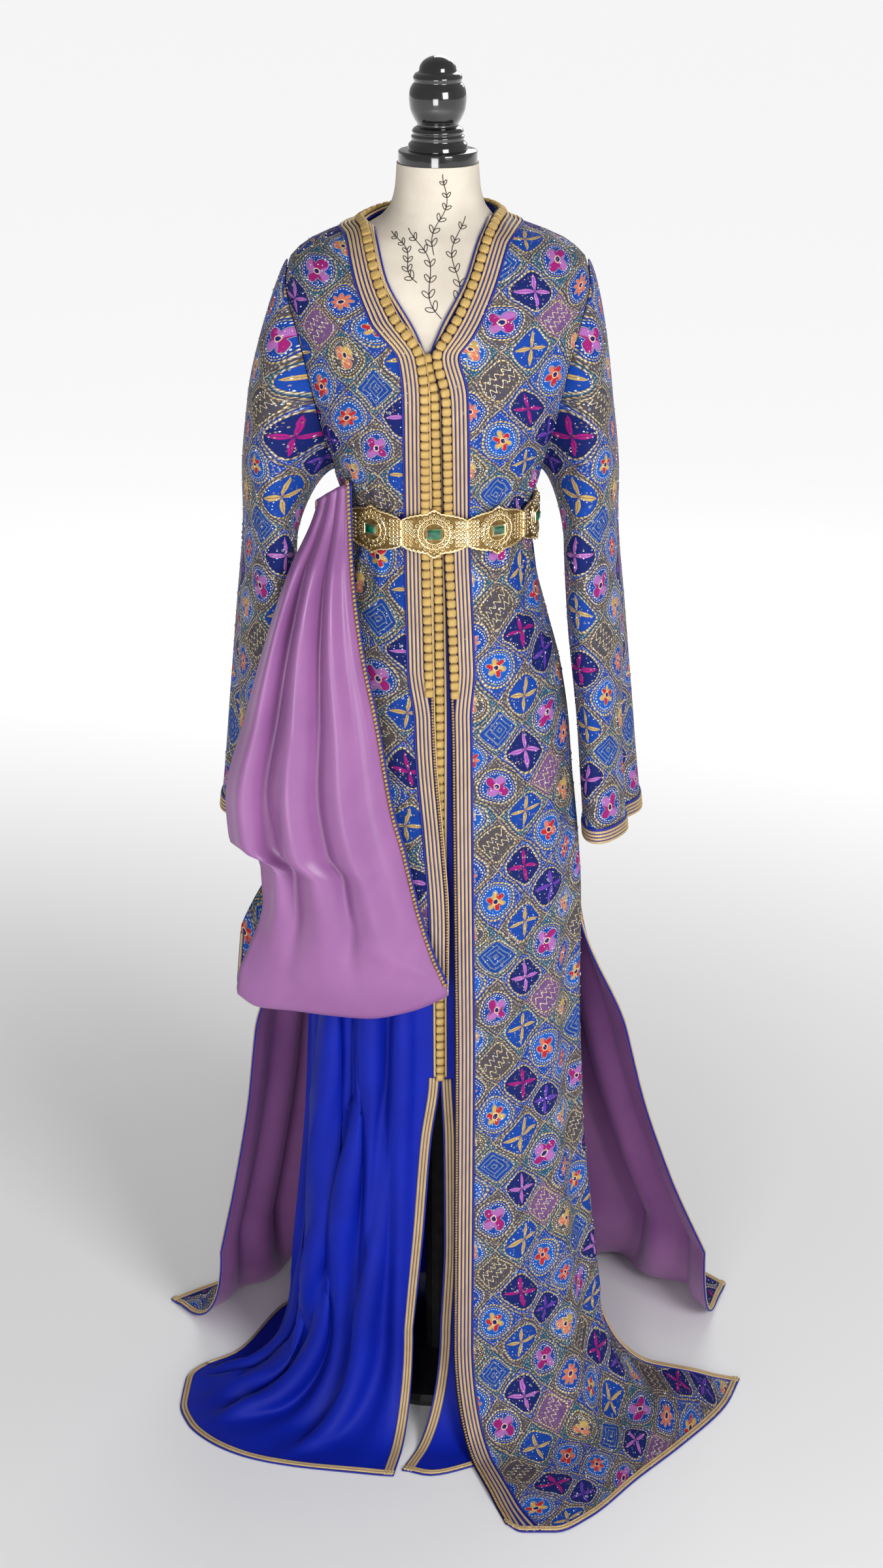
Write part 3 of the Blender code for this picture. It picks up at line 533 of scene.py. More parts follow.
def sleeve(side):
    around = np.linspace(0, 2 * math.pi, 96 // density() + 1)
    low, high = heightsOf["armholeBottom"], heightsOf["armholeTop"]
    startHeight = (low + high) / 2 + (high - low) / 2 * np.cos(around)
    turn = np.where(np.sin(around) > 0, -1, 1)
    lift = curveAt(liftRows, startHeight)[1]
    start = lifted(math.pi / 2 + turn * armholeGap(startHeight), startHeight, lift)
    start[:, 0] += sleeveOut
    offSide = np.degrees((around + math.pi) % (2 * math.pi) - math.pi)
    fold = sleeveFold * np.exp(-((offSide / sleeveFoldWidth) ** 2))
    rings = []
    for part in np.linspace(0, 1, 100 // density()):
        height = startHeight + (sleeveRows[0][0] - startHeight) * part
        middleX, middleY, wide, deep, lean = curveAt(sleeveRows, height)
        shift = leftSleeveShift * smoothStep(1.40, 1.25, height) if side < 0 else 0
        upright = np.sqrt(1 - lean**2)
        wide = wide - fold * smoothStep(1.02, 0.80, height)
        hang = np.stack([
            middleX + shift + wide * np.cos(around) * upright - deep * np.sin(around) * lean,
            middleY - wide * np.cos(around) * lean - deep * np.sin(around) * upright,
            height,
        ], axis=-1)
        share = smoothStep(0, 0.20, part)
        rings.append(start + (hang - start) * share)
    rings = np.array(rings)
    rings[..., 0] *= side
    return rings


# Cloth as meshes

def outwards(points, sign):
    # Surface normals of a grid of points
    down = np.gradient(points, axis=0)
    across = np.gradient(points, axis=1)
    return unit(np.cross(across, down)) * sign


def creased(points, sign, creases):
    # Soft troughs and ridges: share across and share down at both ends, half width, height
    normals = outwards(points, sign)
    rowCount, columnCount = points.shape[:2]
    moved = points.copy()
    for x0, y0, x1, y1, wide, rise in creases:
        ends = []
        for x, y in ((x0, y0), (x1, y1)):
            ends.append(points[int(y * (rowCount - 1)), int(x * (columnCount - 1))])
        run = ends[1] - ends[0]
        length = np.linalg.norm(run)
        share = np.clip(((points - ends[0]) @ run) / length**2, 0, 1)
        gap = np.linalg.norm(points - (ends[0] + share[..., None] * run), axis=-1)
        taper = 0.35 + 0.65 * np.sin(math.pi * (0.1 + 0.8 * share))
        moved += normals * (rise * taper * np.exp(-((gap / wide) ** 2)))[..., None]
    return moved


def swept(points, sign, folds):
    # Long folds: half width, height, then share down and share across at each turn.
    # Each has a ridge, and a narrow trough on its far side.
    normals = outwards(points, sign)
    rowShares = np.linspace(0, 1, points.shape[0])
    along = np.stack([travelOf(row) for row in points])
    moved = points.copy()
    for wide, rise, *turns in folds:
        centre = curveAt(turns, rowShares)[0] * along[:, -1]
        gap = (along - centre[:, None]) / wide
        first, last = turns[0][0], turns[-1][0]
        fade = smoothStep(first, first + 0.10, rowShares) * smoothStep(last, last - 0.06, rowShares)
        ridge = np.exp(-(((gap + 0.6) / 1.5) ** 2)) - 0.9 * np.exp(-(((gap - 0.9) / 0.55) ** 2))
        moved += normals * (rise * fade[:, None] * ridge)[..., None]
    # The floor holds the cloth up
    moved[..., 2] = np.maximum(moved[..., 2], np.minimum(points[..., 2], heightsOf["corner"] * 0.5))
    return moved


def gridUv(points, origin=0.0, anchorRow=0):
    # Real distances across and down the cloth
    across = np.zeros(points.shape[:2])
    steps = np.linalg.norm(np.diff(points, axis=1), axis=-1)
    across[:, 1:] = np.cumsum(steps, axis=1)
    across += origin if np.ndim(origin) == 0 else np.asarray(origin)[:, None]
    down = np.zeros(points.shape[:2])
    steps = np.linalg.norm(np.diff(points, axis=0), axis=-1)
    down[1:] = np.cumsum(steps, axis=0)
    down -= down[anchorRow:anchorRow + 1]
    return np.stack([across, -down], axis=-1)


def sleeveUv(points):
    # Distances round an even oval, so that the pattern runs straight down the sleeve
    around = np.linspace(0, 2 * math.pi, points.shape[1])
    halfWide, halfDeep = 0.028, 0.082
    oval = np.stack([halfWide * np.cos(around), halfDeep * np.sin(around)], axis=-1)
    return np.stack([travelOf(oval)[None, :] + 0 * points[..., 2], points[..., 2]], axis=-1)


def quadsOf(points):
    rows, columns = points.shape[:2]
    index = np.arange(rows * columns).reshape(rows, columns)
    corners = (index[:-1, :-1], index[:-1, 1:], index[1:, 1:], index[1:, :-1])
    return np.stack(corners, axis=-1).reshape(-1, 4)


def meshOf(name, points, faces, uv):
    mesh = bpy.data.meshes.new(name)
    mesh.from_pydata(points.reshape(-1, 3).tolist(), [], faces.tolist())
    layer = mesh.uv_layers.new(name="cloth")
    layer.data.foreach_set("uv", uv.reshape(-1, 2)[faces.reshape(-1)].reshape(-1))
    return mesh


@contextlib.contextmanager
def edited(mesh):
    made = bmesh.new()
    made.from_mesh(mesh)
    yield made
    made.to_mesh(mesh)
    made.free()


def gridMesh(name, points, uv, closed=False, flip=False):
    faces = quadsOf(points)
    mesh = meshOf(name, points, faces[:, ::-1] if flip else faces, uv)
    if closed:
        with edited(mesh) as made:
            bmesh.ops.remove_doubles(made, verts=made.verts, dist=0.00001)
    return mesh


def addPiece(name, mesh, finishes):
    for finish in finishes:
        mesh.materials.append(finish)
    mesh.shade_smooth()
    made = bpy.data.objects.new(name, mesh)
    bpy.context.scene.collection.objects.link(made)
    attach(made, "root")
    return made


def slotted(piece, node):
    if node:
        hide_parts(node)
    return piece


def addCloth(name, points, uv, thickness, finishes, closed=False, flip=False):
    made = addPiece(name, gridMesh(name, points, uv, closed, flip), finishes)
    wall = made.modifiers.new("thickness", "SOLIDIFY")
    wall.thickness = thickness
    wall.offset = 1
    if len(finishes) > 1:
        wall.material_offset = 1
        wall.material_offset_rim = len(finishes) - 1
    return made


def declare(made, points, node):
    # Works out the panel's area, which nothing reads, and hides the part's node
    area = sum(
        0.5 * np.linalg.norm(np.cross(a, b), axis=-1).sum()
        for a, b in (
            (points[1:, :-1] - points[:-1, :-1], points[:-1, 1:] - points[:-1, :-1]),
            (points[1:, :-1] - points[1:, 1:], points[:-1, 1:] - points[1:, 1:]),
        )
    )
    slotted(made, node)


# Shader formulas

class Amount:
    # A number that changes over the surface, worked out by Math nodes

    def __init__(self, tree, socket):
        self.tree, self.socket = tree, socket

    def work(self, operation, *others):
        node = self.tree.nodes.new("ShaderNodeMath")
        node.operation = operation
        for place, value in zip(node.inputs, (self,) + others):
            if isinstance(value, Amount):
                self.tree.links.new(value.socket, place)
            else:
                place.default_value = value
        return Amount(self.tree, node.outputs[0])

    def __add__(self, other):
        return self.work("ADD", other)

    def __sub__(self, other):
        return self.work("SUBTRACT", other)

    def __mul__(self, other):
        return self.work("MULTIPLY", other)

    def __truediv__(self, other):
        return self.work("DIVIDE", other)

    def __pow__(self, other):
        return self.work("POWER", other)

    def under(self, edge, soft=0.01):
        # 1 where this is below the edge
        return self.between(edge + soft, edge - soft)

    def between(self, low, high):
        node = self.tree.nodes.new("ShaderNodeMapRange")
        node.interpolation_type = "SMOOTHSTEP"
        self.tree.links.new(self.socket, node.inputs["Value"])
        for name, value in (("From Min", low), ("From Max", high)):
            if isinstance(value, Amount):
                self.tree.links.new(value.socket, node.inputs[name])
            else:
                node.inputs[name].default_value = value
        return Amount(self.tree, node.outputs["Result"])

    def line(self, centre, half, soft=0.006):
        return (self - centre).work("ABSOLUTE").under(half, soft)


def most(first, *others):
    for other in others:
        first = first.work("MAXIMUM", other)
    return first


def least(first, *others):
    for other in others:
        first = first.work("MINIMUM", other)
    return first


def blend(tree, factor, first, second):
    # Two colours mixed by a mask
    node = tree.nodes.new("ShaderNodeMix")
    node.data_type = "RGBA"
    tree.links.new(factor.socket, node.inputs["Factor"])
    for place, value in ((node.inputs[6], first), (node.inputs[7], second)):
        if isinstance(value, (tuple, list)):
            place.default_value = (*value, 1)
        else:
            tree.links.new(value, place)
    return node.outputs[2]


def noise(tree, place, scale, detail=2.0, rough=0.5):
    node = tree.nodes.new("ShaderNodeTexNoise")
    node.inputs["Scale"].default_value = scale
    node.inputs["Detail"].default_value = detail
    node.inputs["Roughness"].default_value = rough
    tree.links.new(place, node.inputs["Vector"])
    return Amount(tree, node.outputs["Fac"])


def split(tree, place):
    node = tree.nodes.new("ShaderNodeSeparateXYZ")
    tree.links.new(place, node.inputs[0])
    return [Amount(tree, socket) for socket in node.outputs]


def join(tree, *amounts):
    node = tree.nodes.new("ShaderNodeCombineXYZ")
    for amount, place in zip(amounts, node.inputs):
        tree.links.new(amount.socket, place)
    return node.outputs[0]


def startMaterial(name):
    made = bpy.data.materials.new(name)
    made.use_nodes = True
    tree = made.node_tree
    return made, tree, tree.nodes["Principled BSDF"]


def clothPlace(tree):
    node = tree.nodes.new("ShaderNodeUVMap")
    node.uv_map = "cloth"
    return node.outputs[0]


def objectPlace(tree):
    return tree.nodes.new("ShaderNodeTexCoord").outputs["Object"]


def bump(tree, shader, height, distance, strength=1.0):
    node = tree.nodes.new("ShaderNodeBump")
    node.inputs["Distance"].default_value = distance
    node.inputs["Strength"].default_value = strength
    tree.links.new(height.socket, node.inputs["Height"])
    tree.links.new(node.outputs[0], shader.inputs["Normal"])


def newGroup(name, inputs, outputs):
    group = bpy.data.node_groups.new(name, "ShaderNodeTree")
    for label, kind, value in inputs:
        made = group.interface.new_socket(label, in_out="INPUT", socket_type=kind)
        if value is not None:
            made.default_value = value
    for label, kind in outputs:
        group.interface.new_socket(label, in_out="OUTPUT", socket_type=kind)
    start, end = group.nodes.new("NodeGroupInput"), group.nodes.new("NodeGroupOutput")
    return group, start, end


def placeGroup(tree, group, values):
    node = tree.nodes.new("ShaderNodeGroup")
    node.node_tree = group
    for label, value in values.items():
        if isinstance(value, Amount):
            tree.links.new(value.socket, node.inputs[label])
        elif isinstance(value, bpy.types.NodeSocket):
            tree.links.new(value, node.inputs[label])
        else:
            node.inputs[label].default_value = value
    return node


def weaveGroup():
    # Warp and weft with uneven yarns: a height and a slow change of tone
    group, start, end = newGroup(
        "weave",
        (("Place", "NodeSocketVector", None), ("Yarns", "NodeSocketFloat", 900.0),
         ("Slub", "NodeSocketFloat", 0.5)),
        (("Height", "NodeSocketFloat"), ("Tone", "NodeSocketFloat")),
    )
    place = start.outputs["Place"]
    yarns, slub = Amount(group, start.outputs["Yarns"]), Amount(group, start.outputs["Slub"])
    x, y, unused = split(group, place)
    wobble = noise(group, place, 60.0) * 0.004
    warp = ((x + wobble) * yarns).work("SINE")
    weft = ((y + wobble) * yarns).work("SINE")
    uneven = noise(group, place, 700.0, 3.0) * slub
    height = (warp * weft * 0.5 + 0.5) * 0.6 + uneven
    tone = noise(group, place, 9.0, 3.0).between(0.3, 0.7)
    group.links.new(height.socket, end.inputs["Height"])
    group.links.new(tone.socket, end.inputs["Tone"])
    return group


def threadGroup():
    # Metal thread wound round a core: u runs round the cord, v along it. Its colour is darker in the grooves
    # between the windings and lighter on their crests, which is painted shade and painted highlight
    group, start, end = newGroup(
        "metal_thread",
        (("Place", "NodeSocketVector", None), ("Light", "NodeSocketColor", (0.8, 0.58, 0.24, 1)),
         ("Dark", "NodeSocketColor", (0.20, 0.11, 0.03, 1)), ("Winds", "NodeSocketFloat", 2200.0)),
        (("Colour", "NodeSocketColor"), ("Height", "NodeSocketFloat"), ("Rough", "NodeSocketFloat")),
    )
    place = start.outputs["Place"]
    x, y, unused = split(group, place)
    winds = Amount(group, start.outputs["Winds"])
    ridge = ((y + x * 1.2) * winds).work("SINE") * 0.5 + 0.5
    fleck = noise(group, place, 1400.0, 2.0)
    worn = noise(group, place, 60.0, 2.0).between(0.35, 0.7)
    # Painted shade in the grooves and painted highlight on the crests of the windings, mixed with a random
    # fleck
    mask = (ridge * 0.75 + fleck * 0.35).between(0.15, 0.75)
    colour = blend(group, mask, start.outputs["Dark"], start.outputs["Light"])
    # Pale flecks on the highest grains of the thread: painted glints
    paintedGlint = (0.95, 0.80, 0.50)
    colour = blend(group, fleck.between(0.62, 0.72) * 0.6, colour, paintedGlint)
    colour = blend(group, worn * 0.25, colour, start.outputs["Dark"])
    group.links.new(colour, end.inputs["Colour"])
    group.links.new((ridge + fleck * 0.5).socket, end.inputs["Height"])
    group.links.new((fleck * 0.3 + 0.28).socket, end.inputs["Rough"])
    return group


weave, thread = weaveGroup(), threadGroup()


def goldThread(name, light, dark, winds, metallic, onBeads=False):
    made, tree, shader = startMaterial(name)
    place = clothPlace(tree)
    if onBeads:
        x, y, z = split(tree, objectPlace(tree))
        place = join(tree, x + y, z, x - y)
    cord = placeGroup(tree, thread, {
        "Place": place, "Light": (*light, 1), "Dark": (*dark, 1), "Winds": winds,
    })
    tree.links.new(cord.outputs["Colour"], shader.inputs["Base Color"])
    tree.links.new(cord.outputs["Rough"], shader.inputs["Roughness"])
    shader.inputs["Metallic"].default_value = metallic
    bump(tree, shader, Amount(tree, cord.outputs["Height"]), 0.0004, 0.8)
    return made


def wovenCloth(name, colour, deep, roughness, sheen, sheenTint, yarns, slub, depth, specular=0.5):
    made, tree, shader = startMaterial(name)
    place = clothPlace(tree)
    cloths = placeGroup(tree, weave, {"Place": place, "Yarns": yarns, "Slub": slub})
    tone = blend(tree, Amount(tree, cloths.outputs["Tone"]), deep, colour)
    tree.links.new(tone, shader.inputs["Base Color"])
    shader.inputs["Roughness"].default_value = roughness
    shader.inputs["Specular IOR Level"].default_value = specular
    shader.inputs["Sheen Weight"].default_value = sheen
    shader.inputs["Sheen Roughness"].default_value = 0.35
    shader.inputs["Sheen Tint"].default_value = (*sheenTint, 1)
    bump(tree, shader, Amount(tree, cloths.outputs["Height"]), depth, 0.5)
    return made


# The embroidered net. Wide and narrow lanes cross cornerwise, and a chart of 16 patches
# gives each patch its ground, its medallion, its two petal colours, and its motif.
embroidery = {
    "pitch": 0.0960,
    "wideLane": 0.55,
    "wander": 0.20,
    "drift": 0.016,
    "edge": 0.415,
    "outerRope": (0.420, 0.019),
    "innerRope": (0.362, 0.010),
    "borderRope": (0.489, 0.009),
    "seamLine": (0.470, 0.008),
    "petalRim": (0.016, 0.007),
    "beadRing": 0.315,
    "beadEdge": 0.432,
    "heart": 0.050,
    "heartRing": (0.066, 0.010),
    "gold": (0.44, 0.31, 0.12),
    "paleGold": (0.66, 0.55, 0.33),
    "seam": (0.004, 0.008, 0.12),
    # The bead white is also the colour of the painted glints
    "bead": (0.80, 0.84, 0.90),
}
blueGround, skyGround, deepGround = (0.002, 0.045, 0.30), (0.004, 0.085, 0.42), (0.002, 0.010, 0.11)
tealGround, taupeGround, lilacGround = (0.014, 0.078, 0.140), (0.070, 0.060, 0.066), (0.15, 0.070, 0.19)
coral, red, yellow = (0.66, 0.17, 0.10), (0.50, 0.012, 0.016), (0.62, 0.40, 0.10)
magenta, orchid, violet = (0.33, 0.006, 0.16), (0.42, 0.14, 0.46), (0.12, 0.04, 0.36)
oldGold, steel = (0.50, 0.33, 0.10), (0.16, 0.20, 0.25)
# ground, medallion, first petal, second petal, squareness, petals, petal reach, cross, squiggle, squares
patchChart = (
    (blueGround, skyGround, coral, red, 0.0, 5, 0.22, 0, 0, 0),
    (tealGround, blueGround, oldGold, yellow, 0.9, 4, 0.0, 1, 0, 0),
    (taupeGround, blueGround, magenta, orchid, 0.0, 4, 0.27, 0, 0, 0),
    (blueGround, skyGround, coral, red, 0.7, 8, 0.22, 0, 0, 0),
    (tealGround, taupeGround, coral, yellow, 0.5, 3, 0.25, 0, 1, 0),
    (lilacGround, lilacGround, oldGold, oldGold, 1.0, 4, 0.0, 0, 1, 0),
    (blueGround, deepGround, orchid, violet, 0.9, 4, 0.0, 1, 0, 0),
    (tealGround, blueGround, steel, oldGold, 1.0, 4, 0.0, 0, 0, 1),
    (blueGround, skyGround, yellow, red, 0.0, 6, 0.21, 0, 0, 0),
    (taupeGround, blueGround, coral, coral, 0.75, 8, 0.22, 0, 0, 0),
    (tealGround, blueGround, orchid, magenta, 0.0, 4, 0.28, 0, 0, 0),
    (taupeGround, blueGround, oldGold, yellow, 0.8, 4, 0.0, 1, 0, 0),
    (blueGround, deepGround, magenta, magenta, 0.9, 4, 0.0, 1, 0, 0),
    (taupeGround, taupeGround, yellow, oldGold, 1.0, 4, 0.0, 0, 1, 0),
    (tealGround, skyGround, coral, oldGold, 0.6, 3, 0.26, 0, 1, 0),
    (blueGround, deepGround, violet, orchid, 0.9, 4, 0.0, 1, 0, 0),
)


def chartRamp(tree, position, colours):
    # One constant step of a ramp for each patch of the chart
    node = tree.nodes.new("ShaderNodeValToRGB")
    ramp = node.color_ramp
    ramp.interpolation = "CONSTANT"
    count = len(colours)
    while len(ramp.elements) < count:
        ramp.elements.new(0.5)
    for index, colour in enumerate(colours):
        ramp.elements[index].position = index / count
    for index, colour in enumerate(colours):
        ramp.elements[index].color = (*colour, 1)
    tree.links.new(position.socket, node.inputs[0])
    return node.outputs["Color"]


def laneOf(position):
    # Which lane a place lies in, and where across that lane, from -0.5 to 0.5
    pair = position.work("FLOOR")
    within = position - pair
    wideShare = embroidery["wideLane"]
    narrow = within.work("GREATER_THAN", wideShare)
    wideX = within / wideShare
    narrowX = (within - wideShare) / (1 - wideShare)
    x = wideX + (narrowX - wideX) * narrow - 0.5
    return pair * 2 + narrow, x


def embroideredNet():
    made, tree, shader = startMaterial("embroidered_net")
    place = clothPlace(tree)
    u, v, unused = split(tree, place)
    wander = noise(tree, place, 22.0, 1.0) - 0.5
    sway = noise(tree, place, 15.0, 1.0) - 0.5
    drift = noise(tree, place, 190.0, 1.0) - 0.5
    pitch = embroidery["pitch"] * math.sqrt(2)
    wide, fine = embroidery["wander"], embroidery["drift"]
    column, x = laneOf((u + v) / pitch + wander * wide + drift * fine)
    row, y = laneOf((v - u) / pitch + sway * wide - drift * fine)
    index = column.work("FLOORED_MODULO", 4.0) * 4 + row.work("FLOORED_MODULO", 4.0)
    pick = (index + 0.5) / len(patchChart)
    ground, medallion, firstPetal, secondPetal = (
        chartRamp(tree, pick, [patch[part] for patch in patchChart]) for part in range(4)
    )
    # A ramp holds nothing above 1, so the count of petals and their reach are scaled
    forms = chartRamp(tree, pick, [(patch[4], patch[5] / 10, patch[6] * 2) for patch in patchChart])
    motifs = chartRamp(tree, pick, [patch[7:] for patch in patchChart])
    square, petals, reach = split(tree, forms)
    cross, squiggle, squares = split(tree, motifs)

    absX, absY = x.work("ABSOLUTE"), y.work("ABSOLUTE")
    radius = (x * x + y * y).work("SQRT")
    corner = (absX**4 + absY**4) ** 0.25
    shape = radius + (corner - radius) * square
    angle = y.work("ARCTAN2", x)
    side = most(absX, absY)

    # Rope outlines: twisted by a wave that runs round them. The twist is only in the colour, and its dark
    # stripes are painted shade between the strands
    twistShade = (angle * 30 + shape * 40).work("SINE") * 0.5 + 0.5
    outer = shape.line(*embroidery["outerRope"])
    inner = shape.line(*embroidery["innerRope"])
    border = side.line(*embroidery["borderRope"])
    isMedallion = reach.between(0.05, 0.10)
    rope = most(outer, inner * isMedallion, border)

    # Flower petals round a heart, with a thin gold outline
    inside = shape.under(embroidery["edge"])
    petalWave = (angle * petals * 5).work("COSINE").work("ABSOLUTE")
    petalEdge = reach * 0.5 * (petalWave * 0.55 + 0.50)
    petal = (radius - petalEdge).under(0.0) * isMedallion
    petalRim = (radius - petalEdge).line(*embroidery["petalRim"]) * isMedallion
    petalTurn = (angle * petals * 5 + 0.8).work("SINE").between(-0.2, 0.2)
    heart = radius.under(embroidery["heart"]) * isMedallion
    ring = radius.line(*embroidery["heartRing"]) * isMedallion

    # Crosses of four leaves, squiggles and nested squares
    arm = least((x - y).work("ABSOLUTE"), (x + y).work("ABSOLUTE")) * 0.7
    swell = (radius - 0.21) * 4.6
    leaf = cross * (arm + swell * swell * 0.055 - 0.052).under(0.0)
    spine = cross * (arm.under(0.006, 0.004) * radius.under(0.36))
    wave = y - (x * 38).work("SINE") * 0.07
    line = most(wave.line(0.14, 0.018), wave.line(-0.12, 0.018)) * side.under(0.38, 0.02)
    squiggle = squiggle * line
    nested = (side * 9.5).work("FRACT").line(0.5, 0.14, 0.08) * side.under(0.43, 0.02)
    squares = squares * nested

    # Small beads along the patch edges and round the medallions
    step = (angle * 4.8).work("FRACT") - 0.5
    ringGap = (shape - embroidery["beadRing"]) * 17
    beadRing = (ringGap**2 + step * step).work("SQRT").under(0.26, 0.06) * isMedallion
    seamStep = (least(absX, absY) * 15).work("FRACT") - 0.5
    edgeGap = (side - embroidery["beadEdge"]) * 18
    beadEdge = (edgeGap**2 + seamStep * seamStep).work("SQRT").under(0.22, 0.06)

    fibre = noise(tree, place, 900.0, 3.0, 0.7)
    cloud = noise(tree, place, 55.0, 2.0)
    stitch = ((u * 1.0 + v * 0.4) * 5200).work("SINE") * 0.5 + 0.5
    speck = tree.nodes.new("ShaderNodeTexVoronoi")
    speck.inputs["Scale"].default_value = 330.0
    tree.links.new(place, speck.inputs["Vector"])
    speckHue = split(tree, speck.outputs["Color"])[0]
    # Random white dots that stand for glints among the beads: painted highlights, also raised in the bump
    paintedSparkle = Amount(tree, speck.outputs["Distance"]).under(0.24, 0.08) * speckHue.between(0.78, 0.82)
    glitter = Amount(tree, speck.outputs["Distance"]).under(0.30, 0.10) * speckHue.under(0.22, 0.02)

    # Ground, with tiny scrolls in gold outside the medallions
    colour = blend(tree, fibre.between(0.40, 0.80) * 0.50, ground, deepGround)
    scroll = (noise(tree, place, 210.0, 1.0) - 0.5).work("ABSOLUTE").under(0.018, 0.012)
    colour = blend(tree, scroll * (cloud.between(0.42, 0.56) * 0.55 + 0.15), colour, embroidery["gold"])
    medallionCloth = blend(tree, cloud.between(0.40, 0.75) * 0.30, medallion, deepGround)
    colour = blend(tree, inside, colour, medallionCloth)
    flower = blend(tree, petalTurn, firstPetal, secondPetal)
    flower = blend(tree, stitch * 0.25, flower, (0.05, 0.02, 0.04))
    colour = blend(tree, petalRim * 0.7, colour, embroidery["paleGold"])
    colour = blend(tree, petal, colour, flower)
    colour = blend(tree, leaf, colour, firstPetal)
    colour = blend(tree, spine * 0.8, colour, deepGround)
    colour = blend(tree, most(ring, squiggle), colour, embroidery["paleGold"])
    colour = blend(tree, squares, colour, firstPetal)
    colour = blend(tree, heart, colour, deepGround)
    # Dark brown stripes along the twist: painted shade between the rope's strands
    ropeColour = blend(tree, twistShade, (0.12, 0.075, 0.028), embroidery["paleGold"])
    colour = blend(tree, rope, colour, ropeColour)
    seam = side.line(*embroidery["seamLine"])
    colour = blend(tree, seam * 0.6, colour, embroidery["seam"])
    colour = blend(tree, glitter * 0.55, colour, embroidery["gold"])
    # Real white beads round the medallions and along the patch edges, with the random white dots painted as
    # glints
    beadsAndGlints = most(beadRing * 0.7, beadEdge * 0.40, paintedSparkle * 0.9)
    colour = blend(tree, beadsAndGlints, colour, embroidery["bead"])
    tree.links.new(colour, shader.inputs["Base Color"])

    shine = most(rope * 0.6, squiggle * 0.5, glitter * 0.6, beadsAndGlints * 0.3)
    tree.links.new((shine * 0.7).socket, shader.inputs["Metallic"])
    tree.links.new((shine * -0.40 + 0.70 + fibre * 0.1).socket, shader.inputs["Roughness"])
    shader.inputs["Specular IOR Level"].default_value = 0.22
    stitched = petal * (stitch * 0.25 + 0.6)
    height = most(rope, stitched, leaf * 0.6, squares * 0.5, beadsAndGlints * 0.9, heart * 0.9)
    bump(tree, shader, height + fibre * 0.35 + scroll * 0.3, 0.0009, 0.9)
    return made


def beltGold():
    made, tree, shader = startMaterial("gilt_brass")
    place = objectPlace(tree)
    worn = noise(tree, place, 90.0, 3.0).between(0.35, 0.7)
    grain = noise(tree, place, 1300.0, 2.0)
    colour = blend(tree, worn, (0.80, 0.62, 0.33), (0.96, 0.84, 0.55))
    tree.links.new(colour, shader.inputs["Base Color"])
    shader.inputs["Metallic"].default_value = 1.0
    tree.links.new((worn * -0.10 + 0.34).socket, shader.inputs["Roughness"])
    bump(tree, shader, grain, 0.00015, 0.5)
    return made


def plainGloss(name, colour, roughness, coat, grainScale, depth):
    made, tree, shader = startMaterial(name)
    place = objectPlace(tree)
    haze = noise(tree, place, grainScale, 3.0)
    shade = tuple(channel * 1.6 + 0.004 for channel in colour)
    tree.links.new(blend(tree, haze.between(0.4, 0.8), colour, shade), shader.inputs["Base Color"])
    tree.links.new((haze * 0.08 + roughness).socket, shader.inputs["Roughness"])
    shader.inputs["Coat Weight"].default_value = coat
    shader.inputs["Coat Roughness"].default_value = 0.05
    bump(tree, shader, haze, depth, 0.3)
    return made


def plainMetal(name, colour, roughness):
    made, tree, shader = startMaterial(name)
    worn = noise(tree, objectPlace(tree), 400.0, 2.0)
    shade = tuple(channel * 0.6 for channel in colour)
    tree.links.new(blend(tree, worn.between(0.35, 0.7), colour, shade), shader.inputs["Base Color"])
    tree.links.new((worn * 0.2 + roughness).socket, shader.inputs["Roughness"])
    shader.inputs["Metallic"].default_value = 0.9
    return made


def cutGlass():
    made, tree, shader = startMaterial("green_glass")
    place = objectPlace(tree)
    cloud = noise(tree, place, 160.0, 2.0)
    colour = blend(tree, cloud.between(0.3, 0.75), (0.0, 0.030, 0.016), (0.0, 0.20, 0.09))
    tree.links.new(colour, shader.inputs["Base Color"])
    shader.inputs["Roughness"].default_value = 0.04
    shader.inputs["IOR"].default_value = 1.58
    shader.inputs["Coat Weight"].default_value = 1.0
    return made


def linenMaterial():
    made, tree, shader = startMaterial("linen")
    place = objectPlace(tree)
    fine = noise(tree, place, 520.0, 4.0, 0.7)
    x, unused, z = split(tree, place)
    yarn = ((x * 2600).work("SINE") * (z * 2600).work("SINE")) * 0.5 + 0.5
    blot = noise(tree, place, 14.0, 3.0).between(0.35, 0.75)
    colour = blend(tree, blot, (0.56, 0.50, 0.42), (0.68, 0.62, 0.53))
    colour = blend(tree, fine.between(0.55, 0.8) * 0.35, colour, (0.40, 0.33, 0.25))
    tree.links.new(colour, shader.inputs["Base Color"])
    shader.inputs["Roughness"].default_value = 0.9
    bump(tree, shader, yarn * 0.5 + fine, 0.0004, 0.5)
    return made


